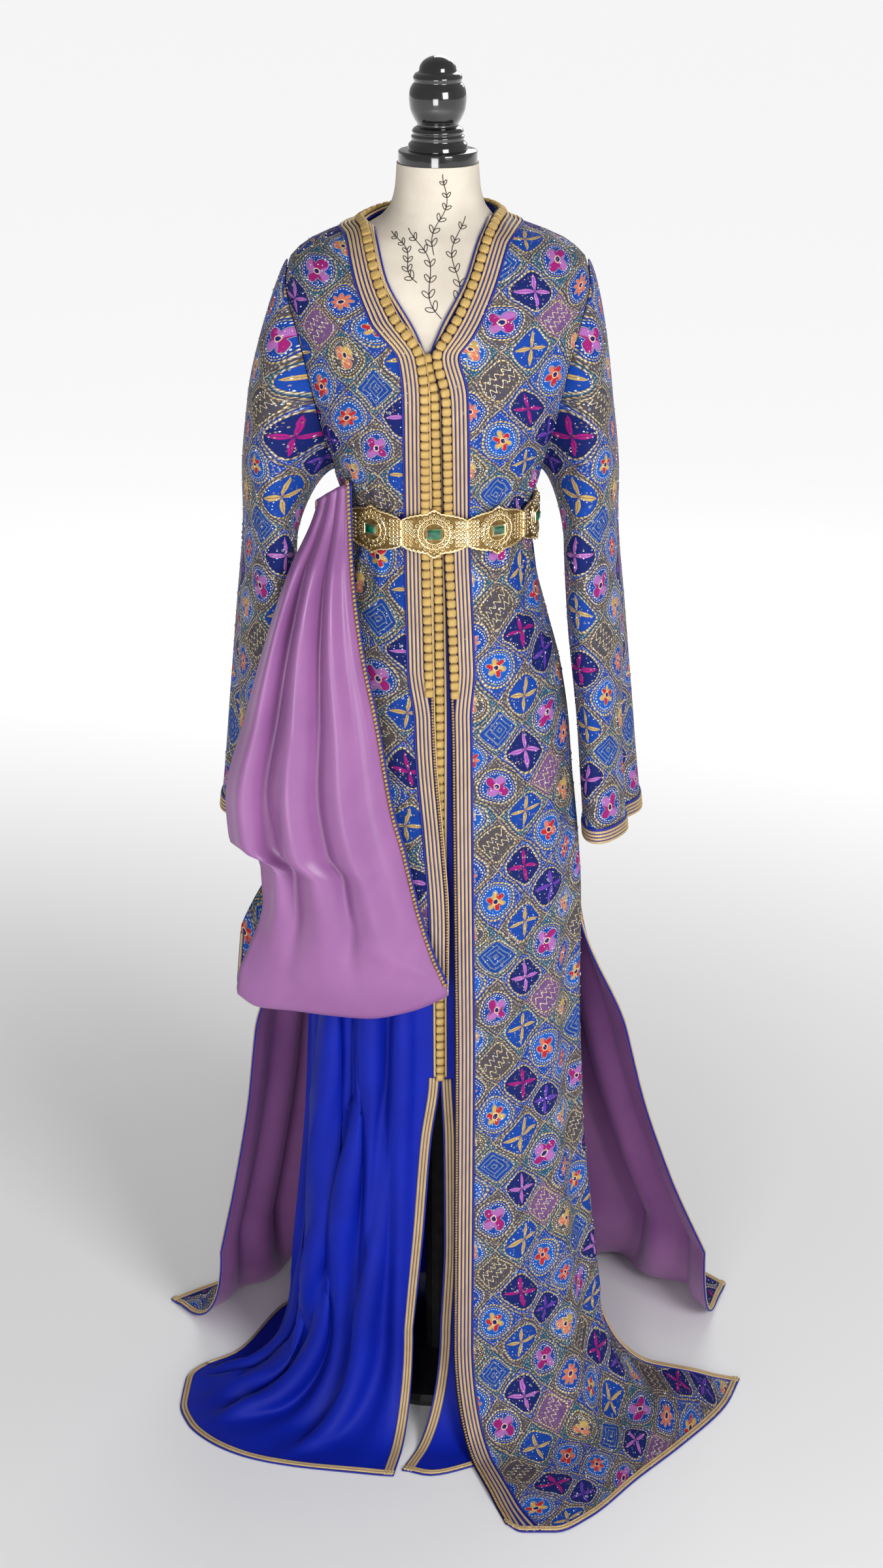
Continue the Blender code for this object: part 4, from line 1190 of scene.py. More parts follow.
print("materials start")
finish = {
    "net": embroideredNet(),
    "satin": wovenCloth("lilac_satin", (0.29, 0.113, 0.295), (0.24, 0.090, 0.255), 0.33, 0.12,
                        (0.8, 0.6, 1.0), 5200.0, 0.25, 0.00012, 0.45),
    "crepe": wovenCloth("blue_crepe", (0.0, 0.012, 0.34), (0.0, 0.008, 0.27), 0.60, 0.10,
                        (0.10, 0.22, 1.0), 3600.0, 0.6, 0.0002, 0.20),
    "piping": wovenCloth("blue_piping", (0.003, 0.012, 0.30), (0.002, 0.008, 0.22), 0.55, 0.1,
                         (0.2, 0.3, 1.0), 4200.0, 0.4, 0.0002),
    "ribbon": wovenCloth("navy_ribbon", (0.001, 0.003, 0.06), (0.001, 0.002, 0.04), 0.7, 0.05,
                         (0.2, 0.3, 1.0), 4200.0, 0.4, 0.0002, 0.2),
    "cord": goldThread("gold_cord", (0.78, 0.60, 0.32), (0.36, 0.22, 0.09), 2400.0, 0.35),
    "knot": goldThread("gold_knot", (0.74, 0.51, 0.17), (0.32, 0.19, 0.05), 3200.0, 0.30, True),
    "bead": goldThread("gold_bead", (0.74, 0.52, 0.22), (0.28, 0.16, 0.05), 3000.0, 0.70, True),
    "patina": plainMetal("gold_patina", (0.24, 0.15, 0.05), 0.5),
    "sequin": plainMetal("silver_sequin", (0.62, 0.66, 0.74), 0.22),
    "pearl": plainGloss("white_bead", (0.72, 0.74, 0.78), 0.2, 0.6, 300.0, 0.0001),
    "brass": beltGold(),
    "glass": cutGlass(),
    "black": plainGloss("black_gloss_wood", (0.006, 0.006, 0.007), 0.08, 1.0, 30.0, 0.0001),
    "stand": plainGloss("stand_paint", (0.012, 0.012, 0.013), 0.35, 0.3, 60.0, 0.0001),
    "linen": linenMaterial(),
    "ink": plainGloss("printed_ink", (0.022, 0.016, 0.012), 0.8, 0.0, 300.0, 0.00005),
}
print("materials")


# The cloth panels

def frontUv(points, bodyCount, anchor, side):
    # Across starts at the distance of the front edge from the middle plane
    origin = side * points[:, 0, 0]
    origin[bodyCount:] = origin[bodyCount - 1]
    uv = gridUv(points, origin, anchor)
    uv[..., 0] *= side
    return uv


def addPanel(name, points, uv, node, flip, closed=False):
    if node.startswith("underdress"):
        wall, finishes, slotName = cloth["crepe"], (finish["crepe"],), "blue_crepe"
    else:
        wall, finishes = cloth["embroidered"], (finish["net"], finish["satin"], finish["piping"])
        slotName = "embroidered_net"
    piece = addCloth(name, points, uv, wall, finishes, closed, flip)
    declare(piece, points, node)
    return points


def addPanels():
    made = {}
    bodyCount = len(bodyRows(1))
    anchor = int(bodyCount * 0.06)

    right = creased(overdressFrontRight(), -1, rightPanelCreases)
    uv = frontUv(right, bodyCount, anchor, 1)
    made["right"] = addPanel(
        "right_front_panel", right, uv, "overdress_front_right", True)

    left, made["leftFold"] = overdressFrontLeft()
    left = creased(left, 1, leftPanelCreases)
    made["leftBody"] = len(turnedLeftRows())
    uv = frontUv(left, made["leftBody"], anchor, -1)
    made["left"] = addPanel(
        "left_front_panel", left, uv, "overdress_front_left", False)

    back = creased(overdressBack(), -1, backPanelCreases)
    uv = gridUv(back, 0.0, anchor)
    middle = back.shape[1] // 2
    uv[..., 0] -= uv[:, middle:middle + 1, 0]
    made["back"] = addPanel("back_panel", back, uv, "overdress_back", True)

    for side, name in ((-1, "sleeve_left"), (1, "sleeve_right")):
        rings = creased(sleeve(side), side, sleeveCreases)
        made[name] = addPanel(
            name + "_cloth", rings, sleeveUv(rings), name, side < 0, True)

    for name, points, flip in (
        ("underdress_front_left", swept(underdressFront(-1), 1, underLeftFolds), False),
        ("underdress_front_right", underdressFront(1), True),
        ("underdress_back", underdressBack(), True),
    ):
        made[name] = addPanel(name + "_cloth", points, gridUv(points), name, flip)
    return made


# Creases: share across and down at both ends, half width, height
rightPanelCreases = (
    (0.75, 0.22, 0.55, 0.34, 0.010, -0.0022),
    (0.85, 0.30, 0.60, 0.36, 0.009, 0.0020),
    (0.80, 0.40, 0.72, 0.60, 0.014, -0.0030),
    (0.90, 0.42, 0.85, 0.66, 0.012, 0.0025),
    (0.55, 0.80, 0.70, 0.92, 0.018, -0.0050),
    (0.35, 0.84, 0.50, 0.95, 0.016, 0.0040),
)
leftPanelCreases = (
    (0.75, 0.14, 0.50, 0.22, 0.009, -0.0020),
    (0.05, 0.58, 0.40, 0.62, 0.010, -0.0025),
    (0.20, 0.66, 0.55, 0.60, 0.012, 0.0028),
    (0.98, 0.62, 0.58, 0.76, 0.016, 0.0060),
)
backPanelCreases = (
    (0.20, 0.20, 0.42, 0.26, 0.012, -0.0024),
    (0.80, 0.21, 0.60, 0.27, 0.012, -0.0024),
    (0.35, 0.30, 0.30, 0.52, 0.016, -0.0034),
    (0.62, 0.32, 0.66, 0.55, 0.016, -0.0034),
    (0.50, 0.40, 0.52, 0.66, 0.018, 0.0034),
)
sleeveCreases = (
    (0.30, 0.20, 0.12, 0.34, 0.010, -0.0030),
    (0.22, 0.30, 0.40, 0.40, 0.010, -0.0026),
    (0.28, 0.46, 0.10, 0.54, 0.011, -0.0032),
    (0.18, 0.55, 0.36, 0.62, 0.010, 0.0026),
    (0.30, 0.66, 0.20, 0.90, 0.014, -0.0034),
    (0.70, 0.30, 0.86, 0.44, 0.011, -0.0030),
    (0.76, 0.60, 0.64, 0.84, 0.013, -0.0030),
)
underLeftFolds = (
    (0.013, 0.020, (0.50, 0.60), (0.72, 0.64), (0.84, 0.70), (0.93, 0.84), (0.98, 0.92)),
    (0.011, 0.016, (0.50, 0.40), (0.66, 0.42), (0.80, 0.50), (0.90, 0.62), (0.97, 0.70)),
    (0.010, 0.014, (0.50, 0.86), (0.72, 0.83), (0.84, 0.86), (0.95, 0.96)),
    (0.012, 0.008, (0.50, 0.20), (0.72, 0.22), (0.88, 0.30), (0.96, 0.34)),
    (0.010, 0.009, (0.60, 0.51), (0.78, 0.58), (0.90, 0.74), (0.95, 0.80)),
)

panels = addPanels()
print("panels")


# The dress form

padded = {"foot": 0.860, "shoulder": 1.380, "neckFoot": 1.383, "rings": 60, "sides": 96, "inside": 0.0004}


def addForm():
    body = np.linspace(padded["foot"], padded["shoulder"], padded["rings"])
    neck = np.linspace(padded["neckFoot"], heightsOf["neckTop"], padded["rings"])
    heights = np.concatenate([body, neck])
    around = np.linspace(0, 2 * math.pi, padded["sides"] + 1)
    points = lifted(around[None, :], heights[:, None], -padded["inside"] + 0 * heights[:, None])
    mesh = gridMesh("padded_form", points, gridUv(points), closed=True)
    with edited(mesh) as made:
        rims = [edge for edge in made.edges if edge.is_boundary]
        bmesh.ops.holes_fill(made, edges=rims, sides=0)
        bmesh.ops.recalc_face_normals(made, faces=made.faces)
    piece = addPiece("padded_form", mesh, (finish["linen"],))
    mesh.set_sharp_from_angle(angle=math.radians(50))
    slotted(piece, "form_torso")


# Stems are drawn in a pen's round line; leaves sit in pairs, smaller toward the tip
stems = {
    "pen": 0.00045, "steps": 40, "waves": 1.2, "leafFrom": 4, "leafTo": 38, "leafStep": 6, "lean": 42,
    "leafSteps": 18, "leafWidth": 0.22, "firstSize": 1.1, "shrink": 0.5,
}
# Leafy stems printed on the form: foot x and height, tip x and height, sway, leaf length
printedStems = (
    (0.004, 1.362, -0.026, 1.452, 0.006, 0.0100), (0.016, 1.372, 0.024, 1.462, -0.006, 0.0095),
    (-0.004, 1.425, 0.010, 1.505, 0.005, 0.0085), (-0.022, 1.398, -0.046, 1.448, 0.004, 0.0080),
)


def printed(flat, parts):
    # A pen line laid on the form, from places on its front plane
    angle, height = angleOf(flat[:, 0], flat[:, 1]), flat[:, 1]
    line = lifted(angle, height, 0 * height)
    out = unit(lifted(angle, height, 0 * height + 0.01) - line)
    parts.append(cordPart(line, out, stems["pen"], 0, 0.5, 5))


def addPrint():
    parts = []
    for footX, footZ, tipX, tipZ, sway, leaf in printedStems:
        part = np.linspace(0, 1, stems["steps"])
        run = np.array([tipX - footX, tipZ - footZ])
        aside = np.array([-run[1], run[0]]) / np.linalg.norm(run)
        flat = np.array([footX, footZ]) + part[:, None] * run
        flat = flat + aside * (sway * np.sin(2 * math.pi * part * stems["waves"]))[:, None]
        printed(flat, parts)
        growth = unit(np.gradient(flat, axis=0))
        for index in range(stems["leafFrom"], stems["leafTo"], stems["leafStep"]):
            for hand in (1, -1):
                lean = math.radians(stems["lean"]) * hand
                x, z = growth[index]
                cosine, sine = math.cos(lean), math.sin(lean)
                axis = np.array([x * cosine - z * sine, x * sine + z * cosine])
                across = np.array([-axis[1], axis[0]])
                turn = np.linspace(0, 2 * math.pi, stems["leafSteps"])
                long, wide = (1 - np.cos(turn)) * leaf / 2, np.sin(turn) * leaf * stems["leafWidth"]
                size = stems["firstSize"] - stems["shrink"] * part[index]
                printed(flat[index] + size * (long[:, None] * axis + wide[:, None] * across), parts)
    addParts("printed_stems", parts, (finish["ink"],))


addForm()
for node in ("base", "pole"):
    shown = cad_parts[node]
    shown.data.materials.clear()
    shown.data.materials.append(finish["stand"])
print("form")


# Cords laid on the cloth, and small pieces stamped along them

trims = {
    "reach": 0.032, "columns": 9, "station": 0.0034, "start": 0.0035, "knotLane": 0.0060,
    "pitch": 0.0044, "cord": 0.00155, "piping": 0.0012, "neckGap": 0.0011, "frontGap": 0.0004,
    "knotPitch": 0.0103, "knotMiddle": 0.0046, "beadPitch": 0.0034, "beadLane": 0.0016,
    "cordRise": 0.0009, "laneEdge": 0.0006, "sunk": 0.0004, "pipingOut": 0.0011, "edgeCord": 0.0015,
    "edgeRise": 0.0010, "ribbonOut": 0.0010, "ribbonThick": 0.0005, "laneThick": 0.0004, "beadRise": 0.0012,
}
# A woven button: the sizes and middle heights of its square pillow and thin collar
knotSizes = {
    "pillow": (0.0100, 0.0094, 0.0058), "pillowMiddle": 0.0026, "collar": (0.0066, 0.0103, 0.0014),
    "collarMiddle": 0.0007, "bevel": 0.0026, "bead": 0.0017,
}
# Cords along hems: the fine edge, then pairs of a gold cord and a thin piping
hems = {
    "edge": 0.0012, "edgeIn": 0.0002, "edgeOut": 0.0003, "gold": 0.0017, "goldIn": 0.0028, "goldOut": 0.0009,
    "piping": 0.0009, "pipingIn": 0.0047, "pipingOut": 0.0001, "pitch": 0.0038,
}
cuffs = {
    "ribbonRises": (0.0, 0.0045, 0.0090, 0.0135, 0.0185), "gap": 0.0002, "firstCord": 0.0019,
    "pitch": 0.0042, "cordOut": 0.0009, "piping": 0.0011, "pipingRise": 0.0182, "pipingOut": 0.0006,
}
middleColumn = {"top": 1.322, "across": (-0.0064, -0.003, 0, 0.003, 0.0064), "gap": 0.0005, "rise": 0.0012}
turnedEdge = {
    "under": 0.0002, "cord": 0.0015, "outside": 0.0018, "outsideUnder": 0.0006, "piping": 0.0012,
    "beads": 0.0024, "beadsIn": 0.0020, "beadsUnder": 0.0016, "beadStep": 1.4,
}


def readAt(places, travel, values):
    return np.stack([np.interp(places, travel, column) for column in values.T], axis=-1)


def resampled(arrays, step):
    # Even stations along the first array, read from each of them
    travel = travelOf(arrays[0])
    count = max(int(travel[-1] / step), 2) + 1
    places = np.linspace(0, travel[-1], count)
    found = []
    for values in arrays:
        flat = values.reshape(len(values), -1)
        found.append(readAt(places, travel, flat).reshape((count,) + values.shape[1:]))
    return found


def cordPart(line, out, radius, pick=0, flat=0.85, around=8, closed=False):
    # A round cord along a line, closed at its ends
    if closed:
        along = unit(np.roll(line, -1, axis=0) - np.roll(line, 1, axis=0))
        first, last, endReach = slice(0, 0), slice(0, 1), radius
    else:
        along = unit(np.gradient(line, axis=0))
        first, last, endReach = slice(0, 1), slice(-1, None), 0
    line, along, out = (
        np.concatenate([values[first], values, values[last]]) for values in (line, along, out)
    )
    reach = np.full(len(line), radius)
    reach[[0, -1]] = endReach
    side = unit(np.cross(along, out))
    up = unit(np.cross(side, along))
    turn = np.linspace(0, 2 * math.pi, around + 1)
    wheel = side[:, None] * np.sin(turn)[:, None] - up[:, None] * (flat * np.cos(turn))[:, None]
    points = line[:, None] + wheel * reach[:, None, None]
    uv = np.stack(np.broadcast_arrays(radius * turn[None, :], travelOf(line)[:, None]), axis=-1)
    return points, uv, pick


def sheetPart(lines, out, thick, pick=0):
    # A ribbon over a few lines, its two edges turned down to the cloth
    over = [line + out * thick for line in lines]
    points = np.stack([lines[0]] + over + [lines[-1]], axis=1)
    return points, gridUv(points), pick


def addParts(name, parts, finishes, node=None):
    vertices, faces, uvs, picks = [], [], [], []
    start = 0
    for points, uv, pick in parts:
        quads = quadsOf(points) + start
        vertices.append(points.reshape(-1, 3))
        faces.append(quads)
        uvs.append(uv.reshape(-1, 2))
        picks.append(np.full(len(quads), pick, dtype=np.int32))
        start += len(vertices[-1])
    mesh = meshOf(name, np.concatenate(vertices), np.concatenate(faces), np.concatenate(uvs))
    mesh.polygons.foreach_set("material_index", np.concatenate(picks))
    with edited(mesh) as made:
        bmesh.ops.remove_doubles(made, verts=made.verts, dist=0.000002)
        bmesh.ops.recalc_face_normals(made, faces=made.faces)
    return slotted(addPiece(name, mesh, finishes), node)


def newModel():
    if bpy.context.object is not None and bpy.context.object.mode != "OBJECT":
        bpy.ops.object.mode_set(mode="OBJECT")
    bpy.ops.object.select_all(action="DESELECT")


def block(size, middle):
    # A box with its size in its mesh
    newModel()
    bpy.ops.mesh.primitive_cube_add(size=1, scale=size, location=(0, 0, middle))
    bpy.ops.object.transform_apply(location=True, rotation=True, scale=True)
    return bpy.context.object


def editAll():
    bpy.ops.object.mode_set(mode="EDIT")
    bpy.ops.mesh.select_mode(type="FACE")
    bpy.ops.mesh.select_all(action="SELECT")


def selectTop(made):
    # Selects the faces that look up, at the highest level
    bpy.ops.object.mode_set(mode="EDIT")
    bpy.ops.mesh.select_mode(type="FACE")
    bpy.ops.mesh.select_all(action="DESELECT")
    bpy.ops.object.mode_set(mode="OBJECT")
    highest = max(face.center.z for face in made.data.polygons if face.normal.z > 0.9)
    for face in made.data.polygons:
        face.select = face.normal.z > 0.9 and face.center.z > highest - 0.00001
    bpy.ops.object.mode_set(mode="EDIT")


def shapeOf(made):
    # The modelled shape as arrays of points, triangles and finishes
    bpy.ops.object.mode_set(mode="OBJECT")
    mesh = made.data
    mesh.calc_loop_triangles()
    points = np.empty(len(mesh.vertices) * 3)
    mesh.vertices.foreach_get("co", points)
    corners = np.empty(len(mesh.loop_triangles) * 3, dtype=np.int32)
    mesh.loop_triangles.foreach_get("vertices", corners)
    picks = np.empty(len(mesh.loop_triangles), dtype=np.int32)
    mesh.loop_triangles.foreach_get("material_index", picks)
    bpy.data.objects.remove(made)
    return points.reshape(-1, 3), corners.reshape(-1, 3), picks


def stamped(shape, places, acrosses, ups, outs, sizes=1.0):
    # Copies of a shape, each on its own three axes
    points, corners, picks = shape
    count = len(places)
    local = points[None] * np.broadcast_to(sizes, (count,))[:, None, None]
    placed = (
        places[:, None] + local[..., 0:1] * acrosses[:, None]
        + local[..., 1:2] * ups[:, None] + local[..., 2:3] * outs[:, None]
    )
    offsets = (np.arange(count) * len(points))[:, None, None]
    return placed.reshape(-1, 3), (corners[None] + offsets).reshape(-1, 3), np.tile(picks, count)


def merged(shapes):
    points, corners, picks = [], [], []
    start = 0
    for shape in shapes:
        points.append(shape[0])
        corners.append(shape[1] + start)
        picks.append(shape[2])
        start += len(shape[0])
    return np.concatenate(points), np.concatenate(corners), np.concatenate(picks)


def addShape(name, shape, finishes, node=None, sharp=None):
    points, corners, picks = shape
    mesh = bpy.data.meshes.new(name)
    mesh.from_pydata(points.tolist(), [], corners.tolist())
    mesh.polygons.foreach_set("material_index", picks.astype(np.int32))
    piece = addPiece(name, mesh, finishes)
    if sharp is not None:
        mesh.set_sharp_from_angle(angle=math.radians(sharp))
    return slotted(piece, node)


def knotShape():
    pillow = block(knotSizes["pillow"], knotSizes["pillowMiddle"])
    editAll()
    bpy.ops.mesh.bevel(offset=knotSizes["bevel"], segments=3, affect="EDGES")
    block(knotSizes["collar"], knotSizes["collarMiddle"])
    pillow.select_set(True)
    bpy.context.view_layer.objects.active = pillow
    bpy.ops.object.join()
    return shapeOf(pillow)


def ballShape(radius, segments, rings, flat=1.0):
    newModel()
    bpy.ops.mesh.primitive_uv_sphere_add(segments=segments, ring_count=rings, radius=radius)
    editAll()
    bpy.ops.transform.resize(value=(1.0, 1.0, flat))
    return shapeOf(bpy.context.object)


def ringShape(radius, wire, segments, around):
    newModel()
    bpy.ops.mesh.primitive_torus_add(
        major_segments=segments, minor_segments=around, major_radius=radius, minor_radius=wire,
    )
    return shapeOf(bpy.context.object)


knot, bead = knotShape(), ballShape(knotSizes["bead"], 7, 5, 0.9)


def onOverdress(angle, height):
    return lifted(angle, height, curveAt(liftRows, height)[1])


def neckRun(side):
    # Stations round the neckline, from the middle of the back to the front of the shoulder
    shares = np.linspace(0.5, 0 if side > 0 else 1, 26)
    angles = list(math.pi * (0.5 + shares))
    heights = list(backNeck(shares))
    if side < 0:
        angles = [angle - 2 * math.pi for angle in angles]
    low, high, count = (1.441, 1.4545, 10) if side > 0 else (1.4390, 1.4452, 7)
    for height in np.linspace(high, low, count):
        angles.append(float(angleOf(curveAt(overdressEdgeRows, height)[1 if side > 0 else 0], height)))
        heights.append(height)
    angles, heights = np.array(angles), np.array(heights)
    along = unit(np.gradient(onOverdress(angles, heights), axis=0))
    points = [onOverdress(angles, heights)]
    step = trims["reach"] / (trims["columns"] - 1)
    for unused in range(trims["columns"] - 1):
        turned = (onOverdress(angles + 0.01, heights) - points[-1]) / 0.01
        climbed = (onOverdress(angles, heights + 0.001) - points[-1]) / 0.001
        out = unit(np.cross(turned, climbed))
        away = unit(np.cross(out, along)) * side
        for index in range(len(angles)):
            axes = np.stack([turned[index], climbed[index]], axis=-1)
            move = np.linalg.lstsq(axes, away[index] * step, rcond=None)[0]
            angles[index] += move[0]
            heights[index] += move[1]
        points.append(onOverdress(angles, heights))
    return np.stack(points, axis=1)


def frontRun(panel, first, last):
    # Stations down a front edge, with distances over the panel's own rows
    along = unit(np.gradient(panel[:, 0], axis=0))
    distances = np.linspace(0, trims["reach"], trims["columns"])
    run = []
    for index in range(first, last):
        row = panel[index]
        travel = travelOf(row)
        slant = np.linalg.norm(np.cross(along[index], unit(row[2] - row[0])))
        run.append(readAt(distances / max(slant, 0.5), travel, row))
    return np.array(run)


def softened(values, times):
    for unused in range(times):
        values = values.copy()
        values[1:-1] = (values[:-2] + 2 * values[1:-1] + values[2:]) / 4
    return values


def acrossAll(run, distance):
    place = np.clip(distance / trims["reach"] * (trims["columns"] - 1), 0, trims["columns"] - 1.001)
    place = np.broadcast_to(place, (len(run),))
    low = place.astype(int)
    rows = np.arange(len(run))
    return run[rows, low] + (run[rows, low + 1] - run[rows, low]) * (place - low)[:, None]


def stampedAlong(shape, line, out, pitch):
    # One copy at each step of a line, its length along the line
    line, out = resampled([line, out], pitch)
    up = -unit(np.gradient(line, axis=0))
    out = unit(out - up * (out * up).sum(axis=-1, keepdims=True))
    return stamped(shape, line, np.cross(up, out), up, out)


def addFrontTrims(side, panel, firstRow, lastRow, name):
    # Four cords down the whole edge, knots inside them down to below the belt, then beads
    neck, front = neckRun(side), frontRun(panel, firstRow, lastRow)
    run = np.concatenate([neck, front])
    along = unit(np.gradient(run[:, 0], axis=0))
    out = unit(np.cross(along, unit(run[:, 4] - run[:, 0]))) * side
    gap = np.full(len(run), trims["frontGap"])
    gap[:len(neck) + 3] = trims["neckGap"]
    step = trims["station"] * density()
    edge, run, out, gap = resampled([run[:, 0], run, out, softened(gap, 4)[:, None]], step)
    run, out = softened(run, 2), unit(softened(out, 4))
    rise = cloth["embroidered"] + gap
    height = run[:, 0, 2]
    knotted = smoothStep(heightsOf["knotsEnd"] - 0.03, heightsOf["knotsEnd"] + 0.03, height)
    start = trims["start"] + trims["knotLane"] * knotted
    end = start + 4 * trims["pitch"]
    inner, outer = start - trims["laneEdge"], end + trims["laneEdge"] + trims["ribbonOut"]
    under = out * (rise - trims["sunk"])
    ribbon = [acrossAll(run, inner + (outer - inner) * part) + under for part in (0, 0.25, 0.5, 0.75, 1)]
    lane = [acrossAll(run, inner * part) + under for part in (0, 0.5, 1)]
    parts = [sheetPart(ribbon, out, trims["ribbonThick"], 1), sheetPart(lane, out, trims["laneThick"], 2)]
    for index in range(4):
        line = acrossAll(run, start + (index + 0.5) * trims["pitch"]) + out * (rise + trims["cordRise"])
        parts.append(cordPart(line, out, trims["cord"]))
    line = acrossAll(run, end + trims["pipingOut"]) + out * (rise + trims["sunk"])
    parts.append(cordPart(line, out, trims["piping"], 1))
    # The turned-up panel's side has a gold edge, the other a dark one
    line = acrossAll(run, 0 * start) + out * trims["edgeRise"]
    parts.append(cordPart(line, out, trims["edgeCord"], 0 if side < 0 else 2, 0.9, 6))
    addParts(
        "front_cords_" + name, parts, (finish["cord"], finish["piping"], finish["ribbon"]), "braid_" + name)
    ending = int(np.argmax((height < heightsOf["knotsEnd"]) & (np.arange(len(run)) > len(neck))))
    line = acrossAll(run, trims["knotMiddle"] + 0 * start) + out * rise
    shape = stampedAlong(knot, line[:ending], out[:ending], trims["knotPitch"])
    addShape("knot_row_" + name, shape, (finish["knot"],), "knots_" + name)
    line = acrossAll(run, trims["beadLane"] + 0 * start) + out * (rise + trims["beadRise"])
    shape = stampedAlong(bead, line[ending:], out[ending:], trims["beadPitch"])
    addShape("bead_row_" + name, shape, (finish["bead"],))


def addMiddleTrims():
    # The underdress closes down the middle under one row of knots between two cords
    heights = np.linspace(middleColumn["top"], heightsOf["frontSlitTop"], 280)
    middle = curveAt(underdressEdgeRows, heights).mean(axis=0)
    lift = curveAt(liftRows, heights)[0] + cloth["crepe"] + middleColumn["gap"]
    lines = [lifted(angleOf(middle + offset, heights), heights, lift) for offset in middleColumn["across"]]
    far = lifted(angleOf(middle, heights), heights, lift + 0.01)
    out = unit(far - lines[2])
    shape = stampedAlong(knot, lines[2], out, trims["knotPitch"])
    addShape("knot_row_middle", shape, (finish["knot"],), "knots_middle")
    parts = [sheetPart(lines, out, trims["laneThick"], 1)]
    for line in (lines[0], lines[4]):
        parts.append(cordPart(line + out * middleColumn["rise"], out, trims["edgeCord"]))
    addParts("middle_cords", parts, (finish["cord"], finish["ribbon"]))


def addCuff(name, rings):
    low, high = rings[-1][:-1], rings[-3][:-1]
    upward = unit(high - low)
    along = unit(np.roll(low, -1, axis=0) - np.roll(low, 1, axis=0))
    out = unit(np.cross(along, upward))
    out *= np.sign(((low - low.mean(axis=0)) * out).sum())
    base = low + out * (cloth["embroidered"] + cuffs["gap"])
    ringed = [base + upward * rise for rise in cuffs["ribbonRises"]]
    ringed = [np.concatenate([line, line[:1]]) for line in ringed]
    parts = [sheetPart(ringed, np.concatenate([out, out[:1]]), trims["ribbonThick"], 1)]
    for index in range(4):
        line = base + upward * (cuffs["firstCord"] + index * cuffs["pitch"]) + out * cuffs["cordOut"]
        parts.append(cordPart(line, out, trims["cord"], 0, closed=True))
    line = base + upward * cuffs["pipingRise"] + out * cuffs["pipingOut"]
    parts.append(cordPart(line, out, cuffs["piping"], 1, closed=True))
    node = "cuff_braid_" + name.split("_")[1]
    addParts(name + "_cuff_cords", parts, (finish["cord"], finish["piping"]), node)


def borderOf(points, sign, which, below=9.0):
    # One edge of a panel: its line, the way into the cloth, and the way out of its face
    normals = outwards(points, sign)
    line, inner, out = {
        "top": (points[0], points[2], normals[1]),
        "bottom": (points[-1], points[-3], normals[-2]),
        "first": (points[:, 0], points[:, 2], normals[:, 1]),
        "last": (points[:, -1], points[:, -3], normals[:, -2]),
    }[which]
    kept = line[:, 2] < below
    return line[kept], unit(inner - line)[kept], unit(softened(out, 3))[kept]


def besideEdge(border, distance, rise, radius, pick=0):
    line, inward, out = border
    return cordPart(line + inward * distance + out * rise, out, radius, pick, 0.85, 7)


def hemParts(border, thickness, rows=1):
    parts = [besideEdge(border, hems["edgeIn"], thickness * 0.5 + hems["edgeOut"], hems["edge"], 1)]
    for index in range(rows):
        step = hems["pitch"] * index
        gold = besideEdge(border, hems["goldIn"] + step, thickness + hems["goldOut"], hems["gold"])
        thin = besideEdge(border, hems["pipingIn"] + step, thickness + hems["pipingOut"], hems["piping"], 1)
        parts += [gold, thin]
    return parts


def addHems():
    thick, thin = cloth["embroidered"], cloth["crepe"]
    right, left, back = panels["right"], panels["left"], panels["back"]
    parts = []
    slit = heightsOf["slitTop"]
    for border in (
        borderOf(right, -1, "last", slit), borderOf(right, -1, "bottom"),
        borderOf(back, -1, "first", slit), borderOf(back, -1, "last", slit), borderOf(back, -1, "bottom"),
    ):
        parts += hemParts(border, thick, 2)
    # The outer edge of the turned-up panel, from its slit round the fold and up to the belt
    outer = [values[panels["leftBody"]:] for values in borderOf(left, 1, "last")]
    parts += hemParts(outer, thick)
    finishes = (finish["cord"], finish["piping"])
    addParts("overdress_hem_cords", parts, finishes)
    parts = []
    for name, sign in (("underdress_front_left", 1), ("underdress_front_right", -1)):
        points = panels[name]
        parts += hemParts(borderOf(points, sign, "first", heightsOf["frontSlitTop"]), thin, 3)
        parts += hemParts(borderOf(points, sign, "bottom"), thin, 2)
        line, inward, out = borderOf(points, sign, "first")
        upper = line[:, 2] > heightsOf["neckV"]
        parts += hemParts((line[upper], inward[upper], out[upper]), thin)
    parts += hemParts(borderOf(panels["underdress_back"], -1, "bottom"), thin)
    addParts("underdress_hem_cords", parts, finishes)
    # Blue piping and gold beads on the front edge of the turned-up panel
    line, inward, out = (values[panels["leftFold"]:] for values in borderOf(left, 1, "first"))
    outside = line - inward * turnedEdge["outside"] - out * turnedEdge["outsideUnder"]
    parts = [
        cordPart(line - out * turnedEdge["under"], out, turnedEdge["cord"], 1, 1.0, 6),
        cordPart(outside, out, turnedEdge["piping"], 1, 1.0, 6),
    ]
    addParts("turned_edge_piping", parts, finishes)
    line = line + inward * turnedEdge["beadsIn"] - out * turnedEdge["beadsUnder"]
    edging = ballShape(turnedEdge["beads"], 7, 5, 0.9)
    shape = stampedAlong(edging, line, -out, turnedEdge["beadStep"] * trims["beadPitch"])
    addShape("turned_edge_beads", shape, (finish["bead"],))


def addTrims():
    right, left = panels["right"], panels["left"]
    addFrontTrims(1, right, 3, len(right), "right")
    addFrontTrims(-1, left, 2, panels["leftFold"], "left")
    addMiddleTrims()
    for name in ("sleeve_left", "sleeve_right"):
        addCuff(name, panels[name])
    addHems()


addTrims()
addPrint()
print("trims")


# The belt: plates of filigree on a ring, each with a cut stone

